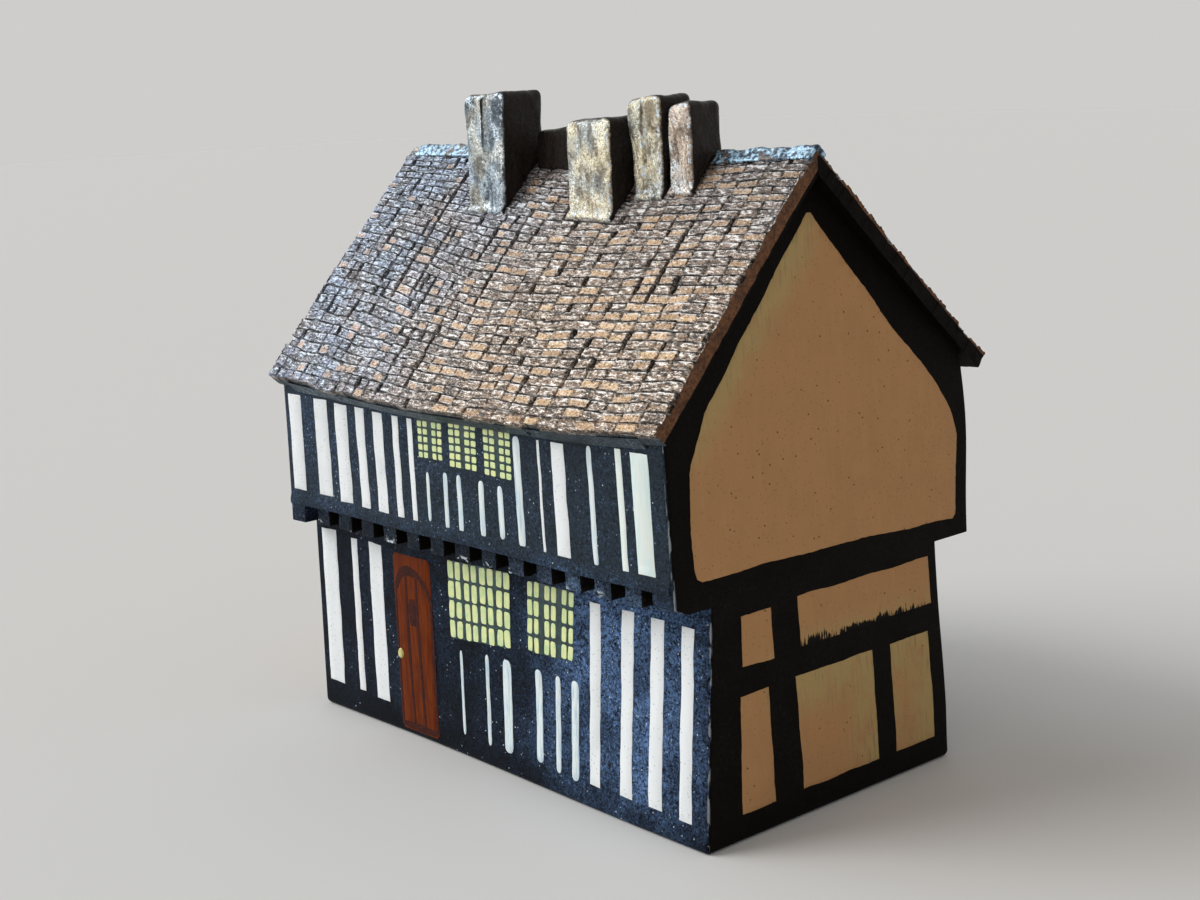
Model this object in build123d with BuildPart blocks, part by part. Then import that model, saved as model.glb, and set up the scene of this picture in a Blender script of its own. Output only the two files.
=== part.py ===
from build123d import *
from math import atan2, cos, hypot, radians, sin, tan
import os

# A small pottery model of a jettied timber-framed cottage, slab built and hand painted.
# Millimetres, +Z up, the painted door faces -Y, origin on the table under the middle of the roof.

# Storeys and slabs
ground_length = 100.0
ground_depth = 52.0
ground_height = 35.0
front_jetty = 4.8
back_jetty = 8.0
wall_thickness = 4.0
gable_thickness = 4.4
right_batter = 3.4  # degrees that the right gable leans inward
left_batter = 1.4
base_thickness = 4.0
vent_radius = 4.0
foot_round = 1.0
corner_round = 0.7

# Jetty: a row of joist ends under a clay strip with a rounded lip
joist_count = 13
joist_height = 3.0
joist_gap = 2.8
joist_setback = 0.6
floor_thickness = 3.0
lip_height = 1.7
lip_depth = 0.6

# Roof slabs, measured on the tile side
roof_thickness = 2.6
front_eave_rise = 26.1  # from the underside of the joists
back_eave_rise = 27.8
ridge_rise = 36.4  # from the front eave
ridge_setback = 26.8  # behind the ground storey's front face
front_eave_overhang = 2.1
back_eave_overhang = 4.4
front_eave_sag = 2.0  # how far the middle of the eave hangs below its ends, down the slope
back_eave_sag = 1.4
verge_overhang = 1.0
strip_width = 2.1
strip_thickness = 0.6
strip_inset = 2.6  # from the left verge to the left strip

# Chimney stacks: the fronts stand ahead of the ridge and the tops rise above it
stack_round = 1.2
stack_clearance = 0.2
stack_foot_flare = 0.2
stack_foot_height = 0.8
stack_foot_taper = 25.0  # degrees
groove_width = 1.5
left_stack_foot = 9.4
left_stack_top = 10.2
left_stack_lean = -0.5  # how far the foot stands right of the top
left_stack_depth = 9.0
left_stack_ahead = 9.5
left_stack_rise = 9.4
left_stack_share = 0.335  # of the roof's length, from the left verge to the stack's middle
middle_stack_foot = 10.0
middle_stack_top = 10.4
middle_stack_ahead = 9.5
middle_stack_rise = 5.7
tall_stack_foot = 5.8
tall_stack_top = 7.9
tall_stack_lean = 0.8
tall_stack_depth = 7.2
tall_stack_ahead = 6.2
tall_stack_rise = 8.9
tall_stack_share = 0.6925
short_stack_foot = 5.2
short_stack_top = 5.2
short_stack_depth = 7.2
short_stack_ahead = 5.6
short_stack_rise = 7.8
spine_depth = 6.0
spine_rise = 4.3

# Painted coats
coat = 0.25
knob_radius = 0.7
knob_height = 0.35

# One length for cuts that run past what they cut
overrun = 5.0

# Painted panels on the long walls: left, right, bottom and top as shares of the face
upper_panel_shares = [
    (0.017, 0.056, 0.13, 0.915),
    (0.098, 0.139, 0.125, 0.905),
    (0.163, 0.201, 0.105, 0.895),
    (0.228, 0.254, 0.10, 0.895),
    (0.280, 0.309, 0.095, 0.885),
    (0.337, 0.354, 0.09, 0.88),
    (0.380, 0.393, 0.105, 0.88),
    (0.423, 0.431, 0.12, 0.495),
    (0.469, 0.480, 0.085, 0.515),
    (0.505, 0.517, 0.085, 0.515),
    (0.561, 0.574, 0.09, 0.505),
    (0.609, 0.622, 0.115, 0.50),
    (0.655, 0.672, 0.09, 0.88),
    (0.715, 0.721, 0.10, 0.885),
    (0.749, 0.779, 0.085, 0.895),
    (0.831, 0.842, 0.09, 0.91),
    (0.895, 0.908, 0.085, 0.92),
    (0.928, 0.965, 0.085, 0.915),
]
upper_window_shares = [
    (0.408, 0.471, 0.60, 0.94),
    (0.491, 0.560, 0.57, 0.91),
    (0.581, 0.647, 0.56, 0.895),
]
ground_left_panel_shares = [
    (0.021, 0.066, 0.14, 0.94),
    (0.113, 0.131, 0.14, 0.925),
    (0.166, 0.204, 0.13, 0.925),
]
ground_right_panel_shares = [
    (0.415, 0.422, 0.11, 0.515),
    (0.483, 0.492, 0.105, 0.53),
    (0.528, 0.549, 0.105, 0.535),
    (0.611, 0.627, 0.12, 0.54),
    (0.660, 0.672, 0.105, 0.54),
    (0.699, 0.716, 0.10, 0.545),
    (0.742, 0.766, 0.11, 0.91),
    (0.813, 0.839, 0.115, 0.91),
    (0.876, 0.904, 0.115, 0.905),
    (0.941, 0.966, 0.11, 0.90),
]
ground_window_shares = [
    (0.395, 0.551, 0.58, 0.94),
    (0.597, 0.703, 0.63, 0.93),
]
door_shares = (0.239, 0.345, 0.032, 0.91)
knob_shares = (0.248, 0.41)
back_extra_panel_shares = [
    (0.262, 0.296, 0.11, 0.93),
    (0.332, 0.362, 0.11, 0.93),
]

# Painted panels on the gables: the big one by its corners, the small ones by their edges
gable_panel_shares = [
    (0.066, 0.02),
    (0.07, 0.31),
    (0.10, 0.375),
    (0.13, 0.45),
    (0.50, 0.905),
    (0.895, 0.395),
    (0.935, 0.315),
    (0.955, 0.24),
    (0.95, 0.0),
    (0.80, 0.005),
    (0.60, 0.02),
]
gable_ground_panel_shares = [
    (0.13, 0.267, 0.718, 0.93),
    (0.12, 0.232, 0.12, 0.605),
    (0.378, 0.955, 0.73, 0.945),
    (0.347, 0.675, 0.12, 0.61),
    (0.755, 0.93, 0.12, 0.61),
]

# Heights
front_eave_height = ground_height + front_eave_rise
back_eave_height = ground_height + back_eave_rise
ridge_height = front_eave_height + ridge_rise
joist_top = ground_height + joist_height
floor_top = joist_top + floor_thickness

# Pitches, from the eaves' ends to the ridge
front_run = ridge_setback + front_jetty + front_eave_overhang
back_run = ground_depth + back_jetty + back_eave_overhang - ridge_setback
front_pitch = atan2(ridge_rise, front_run)
back_pitch = atan2(ridge_height - back_eave_height, back_run)

# Places across the depth, with the two eaves the same distance from the origin
front_projection = front_eave_overhang + front_eave_sag * cos(front_pitch)
back_projection = back_eave_overhang + back_eave_sag * cos(back_pitch)
overall_depth = front_projection + front_jetty + ground_depth + back_jetty + back_projection
upper_front = front_projection - overall_depth / 2
ground_front = upper_front + front_jetty
ground_back = ground_front + ground_depth
upper_back = ground_back + back_jetty
ridge_y = ground_front + ridge_setback

# Planes of the leaning gables and of the roof's two tile sides
right_lean = tan(radians(right_batter))
left_lean = tan(radians(left_batter))
right_outer = Plane((ground_length / 2, 0, 0), x_dir=(0, 1, 0), z_dir=(1, 0, right_lean))
left_outer = Plane((-ground_length / 2, 0, 0), x_dir=(0, -1, 0), z_dir=(-1, 0, left_lean))
right_inner = right_outer.offset(-gable_thickness)
left_inner = left_outer.offset(-gable_thickness)
ridge_point = (0, ridge_y, ridge_height)
front_slope = Plane(ridge_point, x_dir=(1, 0, 0), z_dir=(0, -sin(front_pitch), cos(front_pitch)))
back_slope = Plane(ridge_point, x_dir=(-1, 0, 0), z_dir=(0, sin(back_pitch), cos(back_pitch)))


def right_edge(z):
    """X of the right gable's outer face at a height."""
    return ground_length / 2 - z * right_lean


def left_edge(z):
    """X of the left gable's outer face at a height."""
    return z * left_lean - ground_length / 2


def slopes_meet(offset):
    """Y and Z of the line where both slopes meet once each is moved outward by an offset."""
    steepness = tan(front_pitch) + tan(back_pitch)
    aside = offset * (1 / cos(back_pitch) - 1 / cos(front_pitch)) / steepness
    return ridge_y + aside, ridge_height + offset / cos(front_pitch) + aside * tan(front_pitch)


def front_underside(y):
    """Height of the front roof slab's underside."""
    return ridge_height - roof_thickness / cos(front_pitch) - (ridge_y - y) * tan(front_pitch)


def back_underside(y):
    """Height of the back roof slab's underside."""
    return ridge_height - roof_thickness / cos(back_pitch) - (y - ridge_y) * tan(back_pitch)


def finish(builder, name):
    """Label a finished piece and write it."""
    builder.part.label = name
    export_step(builder.part, f"parts/{name}.step")


os.makedirs("parts", exist_ok=True)
under_apex = slopes_meet(-roof_thickness)
left_verge = left_edge(front_eave_height) - verge_overhang
right_verge = right_edge(front_eave_height) + verge_overhang
verge_middle = (left_verge + right_verge) / 2
roof_length = right_verge - left_verge

# Base slab, set between the walls, with the hole that lets steam out in the kiln
with BuildPart() as base_slab:
    with BuildSketch():
        with Locations((0, (ground_front + ground_back) / 2)):
            Rectangle(ground_length, ground_depth - 2 * wall_thickness)
            Circle(vent_radius, mode=Mode.SUBTRACT)
    extrude(amount=base_thickness)
    split(bisect_by=right_inner, keep=Keep.BOTTOM)
    split(bisect_by=left_inner, keep=Keep.BOTTOM)
finish(base_slab, "base_slab")


# Gable ends: one stepped slab each, leaning inward, with softened corners and foot
def is_corner(edge):
    """Whether an edge stands up under the roof, as the corners of the two storeys do."""
    size = edge.bounding_box().size
    return size.Z > size.Y and edge.center().Z < front_eave_height


def gable(name, outer, inner, reach):
    """A gable slab between its outer and inner planes; reach is signed along X."""
    with BuildPart() as slab:
        with BuildSketch(Plane.YZ):
            with BuildLine():
                Polyline(
                    (ground_front, 0),
                    (ground_front, ground_height),
                    (upper_front, ground_height),
                    (upper_front, front_underside(upper_front)),
                    under_apex,
                    (upper_back, back_underside(upper_back)),
                    (upper_back, ground_height),
                    (ground_back, ground_height),
                    (ground_back, 0),
                    close=True,
                )
            make_face()
        extrude(amount=reach)
        split(bisect_by=outer, keep=Keep.BOTTOM)
        split(bisect_by=inner, keep=Keep.TOP)
        outward = Axis(outer.origin, outer.z_dir)
        outer_edges = slab.faces().sort_by(outward)[-1].edges()
        fillet(outer_edges.filter_by(is_corner), radius=corner_round)
        foot = slab.faces().sort_by(Axis.Z)[0]
        fillet(foot.edges().sort_by(outward)[1:], radius=foot_round)
    finish(slab, name)


gable("right_gable_wall", right_outer, right_inner, ground_length / 2 + overrun)
gable("left_gable_wall", left_outer, left_inner, -ground_length / 2 - overrun)


# Long walls and the strips between them, each a section run along X and cut to the gables
def long_slab(name, section, right_end, left_end, rounded=None):
    """A slab with the given Y, Z section between two end planes; rounded names an edge's Y and radius."""
    with BuildPart() as slab:
        with BuildSketch(Plane.YZ.offset(-ground_length / 2 - overrun)):
            with BuildLine():
                Polyline(*section, close=True)
            make_face()
        extrude(amount=ground_length + 2 * overrun)
        if rounded:
            edge_y, radius = rounded
            foot_edges = slab.edges().filter_by(Axis.X).group_by(Axis.Z)[0]
            fillet(foot_edges.sort_by(lambda edge: abs(edge.center().Y - edge_y))[0], radius=radius)
        split(bisect_by=right_end, keep=Keep.BOTTOM)
        split(bisect_by=left_end, keep=Keep.BOTTOM)
    finish(slab, name)


def upright(face_y, inner_y, foot, tops):
    """Section of a wall from its foot to the heights of its outer and inner faces."""
    return [(face_y, foot), (inner_y, foot), (inner_y, tops[1]), (face_y, tops[0])]


front_inner = ground_front + wall_thickness
back_inner = ground_back - wall_thickness
long_slab(
    "front_ground_wall",
    upright(ground_front, front_inner, 0, (joist_top, joist_top)),
    right_inner,
    left_inner,
    rounded=(ground_front, foot_round),
)
long_slab(
    "back_ground_wall",
    upright(ground_back, back_inner, 0, (joist_top, joist_top)),
    right_inner,
    left_inner,
    rounded=(ground_back, foot_round),
)
long_slab(
    "front_jetty_floor",
    upright(upper_front, front_inner, joist_top, (floor_top, floor_top)),
    right_inner,
    left_inner,
)
long_slab(
    "back_jetty_floor",
    upright(upper_back, back_inner, joist_top, (floor_top, floor_top)),
    right_inner,
    left_inner,
)
upper_front_inner = upper_front + wall_thickness
upper_back_inner = upper_back - wall_thickness
long_slab(
    "front_upper_wall",
    upright(
        upper_front,
        upper_front_inner,
        floor_top,
        (front_underside(upper_front), front_underside(upper_front_inner)),
    ),
    right_inner,
    left_inner,
)
long_slab(
    "back_upper_wall",
    upright(
        upper_back,
        upper_back_inner,
        floor_top,
        (back_underside(upper_back), back_underside(upper_back_inner)),
    ),
    right_inner,
    left_inner,
)


# Rounded lips along the feet of the upper walls, over the gables' edges too
def lip(name, face_y, outward):
    """A strip of half-round section on an upper wall's face; outward is -1 at the front."""
    with BuildPart() as strip:
        with BuildSketch(Plane.YZ.offset(-ground_length / 2 - overrun)):
            with BuildLine():
                low = (face_y, joist_top)
                high = (face_y, joist_top + lip_height)
                ThreePointArc(low, (face_y + outward * lip_depth, joist_top + lip_height / 2), high)
                Line(high, low)
            make_face()
        extrude(amount=ground_length + 2 * overrun)
        split(bisect_by=right_outer.offset(-corner_round), keep=Keep.BOTTOM)
        split(bisect_by=left_outer.offset(-corner_round), keep=Keep.BOTTOM)
    finish(strip, name)


lip("front_jetty_lip", upper_front, -1)
lip("back_jetty_lip", upper_back, 1)


# Joist ends, evenly spaced between the gables with a gap at each end
def joists(name, wall_y, tip_y):
    """A row of blocks from a ground wall's face to just short of the upper wall's face."""
    row_left = left_edge(joist_top) + gable_thickness / cos(radians(left_batter))
    row_right = right_edge(joist_top) - gable_thickness / cos(radians(right_batter))
    pitch = (row_right - row_left - joist_gap) / joist_count
    with BuildPart() as row:
        with BuildSketch(Plane.XY.offset(ground_height)):
            with Locations(((row_left + row_right) / 2, (wall_y + tip_y) / 2)):
                with GridLocations(pitch, 0, joist_count, 1):
                    Rectangle(pitch - joist_gap, abs(tip_y - wall_y))
        extrude(amount=joist_height)
    finish(row, name)


joists("front_joist_ends", ground_front, upper_front + joist_setback)
joists("back_joist_ends", ground_back, upper_back - joist_setback)


# Roof slabs with sagging eaves, mitred under the ridge
mitre = Plane(
    ridge_point,
    x_dir=(1, 0, 0),
    z_dir=(0, under_apex[1] - ridge_height, ridge_y - under_apex[0]),
)


def roof_slab(name, slope, middle, run, rise, sag, kept):
    """A slab on one slope; middle is the roof's middle along the slope plane's own X."""
    length = hypot(run, rise)
    left = middle - roof_length / 2
    right = middle + roof_length / 2
    with BuildPart() as slab:
        with BuildSketch(slope):
            with BuildLine():
                ThreePointArc((left, -length), (middle, -length - sag), (right, -length))
                Polyline((right, -length), (right, overrun), (left, overrun), (left, -length))
            make_face()
        extrude(amount=-roof_thickness)
        split(bisect_by=mitre, keep=kept)
    finish(slab, name)


roof_slab(
    "front_roof_slope", front_slope, verge_middle, front_run, ridge_rise, front_eave_sag, Keep.TOP
)
roof_slab(
    "back_roof_slope",
    back_slope,
    -verge_middle,
    back_run,
    ridge_height - back_eave_height,
    back_eave_sag,
    Keep.BOTTOM,
)


# What the roof fills below its tile sides, for seating what stands on it
with BuildPart() as roof_envelope:
    with BuildSketch(Plane.YZ.offset(-ground_length)):
        with BuildLine():
            Polyline(
                (ridge_y, ridge_height),
                (ridge_y - 2 * front_run, ridge_height - 2 * front_run * tan(front_pitch)),
                (ridge_y + 2 * back_run, ridge_height - 2 * back_run * tan(back_pitch)),
                close=True,
            )
        make_face()
    extrude(amount=2 * ground_length)


# Chimney stacks: tapered blocks with rounded arrises, some grooved, on feet that spread on the slope
def half_width(foot_width, top_width, lean=0):
    """Half of what a stack takes up along the ridge."""
    return max(foot_width / 2 + stack_foot_flare + abs(lean), top_width / 2)


def stack(name, centre, foot_width, top_width, ahead, depth, rise, lean=0, grooved=False):
    """A stack whose front stands ahead of the ridge, seated on the roof; centre is its top's middle."""
    foot_centre = centre + lean
    front = ridge_y - ahead
    foot = ridge_height - ahead * tan(front_pitch)
    top = ridge_height + rise
    with BuildPart() as chimney:
        with BuildSketch(Plane.XZ.offset(-front)):
            with BuildLine():
                Polyline(
                    (foot_centre - foot_width / 2, foot - overrun),
                    (foot_centre + foot_width / 2, foot - overrun),
                    (centre + top_width / 2, top),
                    (centre - top_width / 2, top),
                    close=True,
                )
            make_face()
        extrude(amount=-depth)
        fillet(chimney.edges() - chimney.faces().sort_by(Axis.Z)[0].edges(), radius=stack_round)
        if grooved:
            groove_side = groove_width * cos(radians(45))
            with BuildSketch(Plane.XY.offset(foot - overrun)):
                with Locations((centre, front)):
                    Rectangle(groove_side, groove_side, rotation=45)
            extrude(amount=top - foot + 2 * overrun, mode=Mode.SUBTRACT)
        add(roof_envelope.part, mode=Mode.SUBTRACT)
        foot_start = -ahead / cos(front_pitch) - stack_foot_flare
        foot_end = -(spine_depth / 2 + stack_clearance) / cos(front_pitch)
        with BuildSketch(front_slope):
            with Locations((foot_centre, (foot_start + foot_end) / 2)):
                Rectangle(foot_width + 2 * stack_foot_flare, foot_end - foot_start)
        extrude(amount=stack_foot_height, taper=stack_foot_taper)
    finish(chimney, name)


left_stack_half = half_width(left_stack_foot, left_stack_top, left_stack_lean)
middle_stack_half = half_width(middle_stack_foot, middle_stack_top)
tall_stack_half = half_width(tall_stack_foot, tall_stack_top, tall_stack_lean)
short_stack_half = half_width(short_stack_foot, short_stack_top)
left_stack_centre = left_verge + left_stack_share * roof_length
tall_stack_centre = left_verge + tall_stack_share * roof_length
middle_stack_centre = tall_stack_centre - tall_stack_half - stack_clearance - middle_stack_half
short_stack_centre = tall_stack_centre + tall_stack_half + stack_clearance + short_stack_half
stack(
    "left_chimney",
    left_stack_centre,
    left_stack_foot,
    left_stack_top,
    left_stack_ahead,
    left_stack_depth,
    left_stack_rise,
    lean=left_stack_lean,
    grooved=True,
)
stack(
    "middle_chimney",
    middle_stack_centre,
    middle_stack_foot,
    middle_stack_top,
    middle_stack_ahead,
    middle_stack_ahead - spine_depth / 2 - stack_clearance,
    middle_stack_rise,
)
stack(
    "right_chimney_tall",
    tall_stack_centre,
    tall_stack_foot,
    tall_stack_top,
    tall_stack_ahead,
    tall_stack_depth,
    tall_stack_rise,
    lean=tall_stack_lean,
    grooved=True,
)
stack(
    "right_chimney_short",
    short_stack_centre,
    short_stack_foot,
    short_stack_top,
    short_stack_ahead,
    short_stack_depth,
    short_stack_rise,
)

# Low spine along the ridge that ties the left stack to the right pair
spine_left = left_stack_centre + left_stack_half + stack_clearance
spine_right = tall_stack_centre - tall_stack_half - stack_clearance
with BuildPart() as chimney_spine:
    with BuildSketch(Plane.XY.offset(front_eave_height)):
        with Locations(((spine_left + spine_right) / 2, ridge_y)):
            Rectangle(spine_right - spine_left, spine_depth)
    extrude(amount=ridge_height + spine_rise - front_eave_height)
    fillet(chimney_spine.faces().sort_by(Axis.Z)[-1].edges().filter_by(Axis.X), radius=stack_round)
    add(roof_envelope.part, mode=Mode.SUBTRACT)
finish(chimney_spine, "chimney_spine")


# Ridge strips: bent clay strips over the ridge on both sides of the stacks
def ridge_strip(name, left, right):
    """A strip bent over the ridge between two places along X."""
    front_down = (-cos(front_pitch), -sin(front_pitch))
    back_down = (cos(back_pitch), -sin(back_pitch))
    front_hem = (ridge_y + strip_width * front_down[0], ridge_height + strip_width * front_down[1])
    back_hem = (ridge_y + strip_width * back_down[0], ridge_height + strip_width * back_down[1])
    with BuildPart() as strip:
        with BuildSketch(Plane.YZ.offset(left)):
            with BuildLine():
                Polyline(
                    (ridge_y, ridge_height),
                    front_hem,
                    (
                        front_hem[0] + strip_thickness * front_down[1],
                        front_hem[1] - strip_thickness * front_down[0],
                    ),
                    slopes_meet(strip_thickness),
                    (
                        back_hem[0] - strip_thickness * back_down[1],
                        back_hem[1] + strip_thickness * back_down[0],
                    ),
                    back_hem,
                    close=True,
                )
            make_face()
        extrude(amount=right - left)
        fillet(strip.edges().filter_by(Axis.X).sort_by(Axis.Z)[-1], radius=strip_thickness)
    finish(strip, name)


left_strip_end = left_stack_centre - left_stack_half - stack_clearance
right_strip_start = short_stack_centre + short_stack_half + stack_clearance
ridge_strip("left_ridge_strip", left_verge + strip_inset, left_strip_end)
ridge_strip("right_ridge_strip", right_strip_start, right_verge)

# Painted coats on the long walls, each panel a thin raised patch of glaze
face_spans = {
    "front_ground": (0, ground_height),
    "front_upper": (joist_top, front_underside(upper_front)),
    "back_ground": (0, ground_height),
    "back_upper": (joist_top, back_underside(upper_back)),
}
face_planes = {
    "front_ground": Plane.XZ.offset(-ground_front),
    "front_upper": Plane.XZ.offset(-upper_front),
    "back_ground": Plane((0, ground_back, 0), x_dir=(-1, 0, 0), z_dir=(0, 1, 0)),
    "back_upper": Plane((0, upper_back, 0), x_dir=(-1, 0, 0), z_dir=(0, 1, 0)),
}


def wall_point(face, along, up):
    """A place on a long wall, from its shares, in the coordinates of that wall's plane."""
    foot, top = face_spans[face]
    z = foot + up * (top - foot)
    start = left_edge(z) if face.startswith("front") else -right_edge(z)
    return start + along * (right_edge(z) - left_edge(z)), z


def wall_coats(name, face, panels):
    """Thin four-sided patches on a long wall, all in one piece of the model's paintwork."""
    with BuildPart() as coats:
        with BuildSketch(face_planes[face]):
            for left, right, bottom, top in panels:
                with BuildLine():
                    Polyline(
                        wall_point(face, left, bottom),
                        wall_point(face, right, bottom),
                        wall_point(face, right, top),
                        wall_point(face, left, top),
                        close=True,
                    )
                make_face()
        extrude(amount=coat)
    finish(coats, name)


wall_coats("front_upper_panels", "front_upper", upper_panel_shares)
wall_coats("front_ground_panels", "front_ground", ground_left_panel_shares + ground_right_panel_shares)
wall_coats("front_door", "front_ground", [door_shares])
wall_coats("back_upper_panels", "back_upper", upper_panel_shares)
wall_coats(
    "back_ground_panels",
    "back_ground",
    ground_left_panel_shares + back_extra_panel_shares + ground_right_panel_shares,
)
for number, window in enumerate(upper_window_shares, start=1):
    wall_coats(f"front_upper_window_{number}", "front_upper", [window])
    wall_coats(f"back_upper_window_{number}", "back_upper", [window])
for number, window in enumerate(ground_window_shares, start=1):
    wall_coats(f"front_ground_window_{number}", "front_ground", [window])
    wall_coats(f"back_ground_window_{number}", "back_ground", [window])

with BuildPart() as front_door_knob:
    with BuildSketch(face_planes["front_ground"].offset(coat)):
        with Locations(wall_point("front_ground", *knob_shares)):
            Circle(knob_radius)
    extrude(amount=knob_height)
finish(front_door_knob, "front_door_knob")


# Painted coats on the gables
def gable_coats(name, outer, forward, lean, panels):
    """Thin patches on a gable; forward is the sign of +Y along the gable plane's own X."""
    with BuildPart() as coats:
        with BuildSketch(outer):
            for corners in panels:
                with BuildLine():
                    Polyline(*[(forward * y, z * hypot(1, lean)) for y, z in corners], close=True)
                make_face()
        extrude(amount=coat)
    finish(coats, name)


upper_depth = upper_back - upper_front
big_panel = [
    (upper_front + along * upper_depth, joist_top + up * (under_apex[1] - joist_top))
    for along, up in gable_panel_shares
]
small_panels = []
for left, right, bottom, top in gable_ground_panel_shares:
    near = ground_front + left * ground_depth
    far = ground_front + right * ground_depth
    low = bottom * ground_height
    high = top * ground_height
    small_panels.append([(near, low), (far, low), (far, high), (near, high)])

gable_coats("right_gable_panel", right_outer, 1, right_lean, [big_panel])
gable_coats("right_ground_panels", right_outer, 1, right_lean, small_panels)
gable_coats("left_gable_panel", left_outer, -1, left_lean, [big_panel])
gable_coats("left_ground_panels", left_outer, -1, left_lean, small_panels)
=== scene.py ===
import math
import random
import bmesh
import bpy
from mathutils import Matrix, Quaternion, Vector, noise

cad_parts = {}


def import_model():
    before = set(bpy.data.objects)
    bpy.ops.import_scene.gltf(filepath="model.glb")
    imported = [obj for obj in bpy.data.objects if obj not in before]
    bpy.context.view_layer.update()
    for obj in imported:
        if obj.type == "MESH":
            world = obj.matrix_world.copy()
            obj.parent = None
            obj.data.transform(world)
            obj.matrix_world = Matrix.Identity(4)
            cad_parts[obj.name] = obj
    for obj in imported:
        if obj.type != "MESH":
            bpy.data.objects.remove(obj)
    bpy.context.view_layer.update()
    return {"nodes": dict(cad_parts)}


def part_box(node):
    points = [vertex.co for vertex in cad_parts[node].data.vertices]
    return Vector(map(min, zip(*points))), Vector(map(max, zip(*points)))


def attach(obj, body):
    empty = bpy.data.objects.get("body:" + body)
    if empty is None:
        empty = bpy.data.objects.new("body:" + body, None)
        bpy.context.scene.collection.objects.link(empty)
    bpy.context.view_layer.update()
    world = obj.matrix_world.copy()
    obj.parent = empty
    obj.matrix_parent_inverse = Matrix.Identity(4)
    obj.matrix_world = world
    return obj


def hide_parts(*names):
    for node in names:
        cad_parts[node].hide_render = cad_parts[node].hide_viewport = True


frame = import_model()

# A hand-made pottery cottage: soft slab walls, brushed black paint round bare panels, dabbed windows
# and a roof of impressed tiles under a copper and silver lustre. Metres throughout; MM turns
# millimetres into metres.
MM = 0.001
SEED = 11
rng = random.Random(SEED)
noise.seed_set(SEED)

# Unevenness that every piece shares, so that what touches stays touching
WOBBLE = 0.28 * MM
WOBBLE_SIZE = 26 * MM
RIDGE_DIP = 1.1 * MM
RIDGE_DIP_X = 18 * MM
RIDGE_DIP_SPREAD = 26 * MM
RIDGE_DIP_START = 78 * MM
BACK_BOW = 1.2 * MM
BACK_BOW_SPREAD = 11 * MM
BACK_BOW_START = 12 * MM
BACK_BOW_END = 30 * MM
FLAT_FOOT = 9 * MM
TWIST_FOOT = 2.3 * MM
TWIST_HEAD = 2.0 * MM
TWIST_START = -30 * MM
TWIST_END = 50 * MM
TWIST_DEPTH = 15 * MM

# Meshes
SLAB_CELL = 2.0 * MM
MERGE = 0.001 * MM
SHARP = math.radians(38)
FLAT = math.radians(0.5)
FACING = 0.85

# Paint
COAT_HEIGHT = 0.05 * MM
COAT_BEVEL = 0.04 * MM
COAT_SINK = 0.10 * MM
COAT_SHOULDER_SHARE = 0.45
EDGE_STEP = 0.45 * MM
EDGE_WAVE = 4 * MM
EDGE_RIPPLE = 1 * MM
CORNER_CUT = 0.6 * MM


def smooth_step(low, high, value):
    """0 below low, 1 above high and a smooth rise between them."""
    t = min(max((value - low) / (high - low), 0.0), 1.0)
    return t * t * (3 - 2 * t)


# What the frame says about the faces and slopes
def plane_of(node, direction):
    """A point on a node's largest flat face that looks roughly along a direction, and its normal."""
    mesh = frame["nodes"][node].data
    areas = {}
    for polygon in mesh.polygons:
        if polygon.normal.dot(direction) > FACING:
            key = tuple(round(part, 3) for part in polygon.normal)
            area, point, normal = areas.get(key, (0.0, None, None))
            areas[key] = (area + polygon.area, polygon.center.copy(), polygon.normal.copy())
    area, point, normal = max(areas.values(), key=lambda entry: entry[0])
    return point, normal.normalized()


class Face:
    """A flat face of the cottage with its own two directions and an outward normal."""

    def __init__(self, node, direction, along):
        point, self.normal = plane_of(node, Vector(direction).normalized())
        along = Vector(along)
        self.along = (along - self.normal * along.dot(self.normal)).normalized()
        self.up = self.normal.cross(self.along)
        self.origin = self.normal * point.dot(self.normal)

    def place(self, along, up, lift=0.0):
        """The point at two distances along the face and a height above it."""
        return self.origin + self.along * along + self.up * up + self.normal * lift

    def flat(self, point):
        """The two distances of a point along the face."""
        return Vector((point.dot(self.along), point.dot(self.up)))


FACES = {
    "front_ground": Face("front_ground_wall", (0, -1, 0), (1, 0, 0)),
    "front_upper": Face("front_upper_wall", (0, -1, 0), (1, 0, 0)),
    "back_ground": Face("back_ground_wall", (0, 1, 0), (-1, 0, 0)),
    "back_upper": Face("back_upper_wall", (0, 1, 0), (-1, 0, 0)),
    "right": Face("right_gable_wall", (1, 0, 0), (0, 1, 0)),
    "left": Face("left_gable_wall", (-1, 0, 0), (0, -1, 0)),
}
SLOPES = {
    "front": Face("front_roof_slope", (0, -1, 1), (1, 0, 0)),
    "back": Face("back_roof_slope", (0, 1, 1), (-1, 0, 0)),
}
ridge_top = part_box("front_roof_slope")[1]
RIDGE = Vector((0, 0, ridge_top[2]))
front_slope = SLOPES["front"]
RIDGE.y = (front_slope.origin.dot(front_slope.normal) - RIDGE.z * front_slope.normal.z) / front_slope.normal.y
back_middle_z = (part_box("back_upper_wall")[0][2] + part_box("back_upper_wall")[1][2]) / 2
jetty_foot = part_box("front_joist_ends")[0][2]
jetty_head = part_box("front_jetty_floor")[1][2]


def warp(point):
    """A point moved by the unevenness of hand-built slabs; the foot stays flat."""
    lift = smooth_step(0.0, FLAT_FOOT, point.z)
    moved = point + noise.noise_vector(point / WOBBLE_SIZE) * WOBBLE * lift
    near_ridge = smooth_step(RIDGE_DIP_START, RIDGE.z, point.z)
    aside = (point.x - RIDGE_DIP_X) / RIDGE_DIP_SPREAD
    moved.z -= RIDGE_DIP * near_ridge * math.exp(-aside * aside)
    behind = smooth_step(BACK_BOW_START, BACK_BOW_END, point.y)
    off = (point.z - back_middle_z) / BACK_BOW_SPREAD
    moved.y += BACK_BOW * behind * math.exp(-off * off)
    moved.y += twist(point)
    return moved


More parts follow.
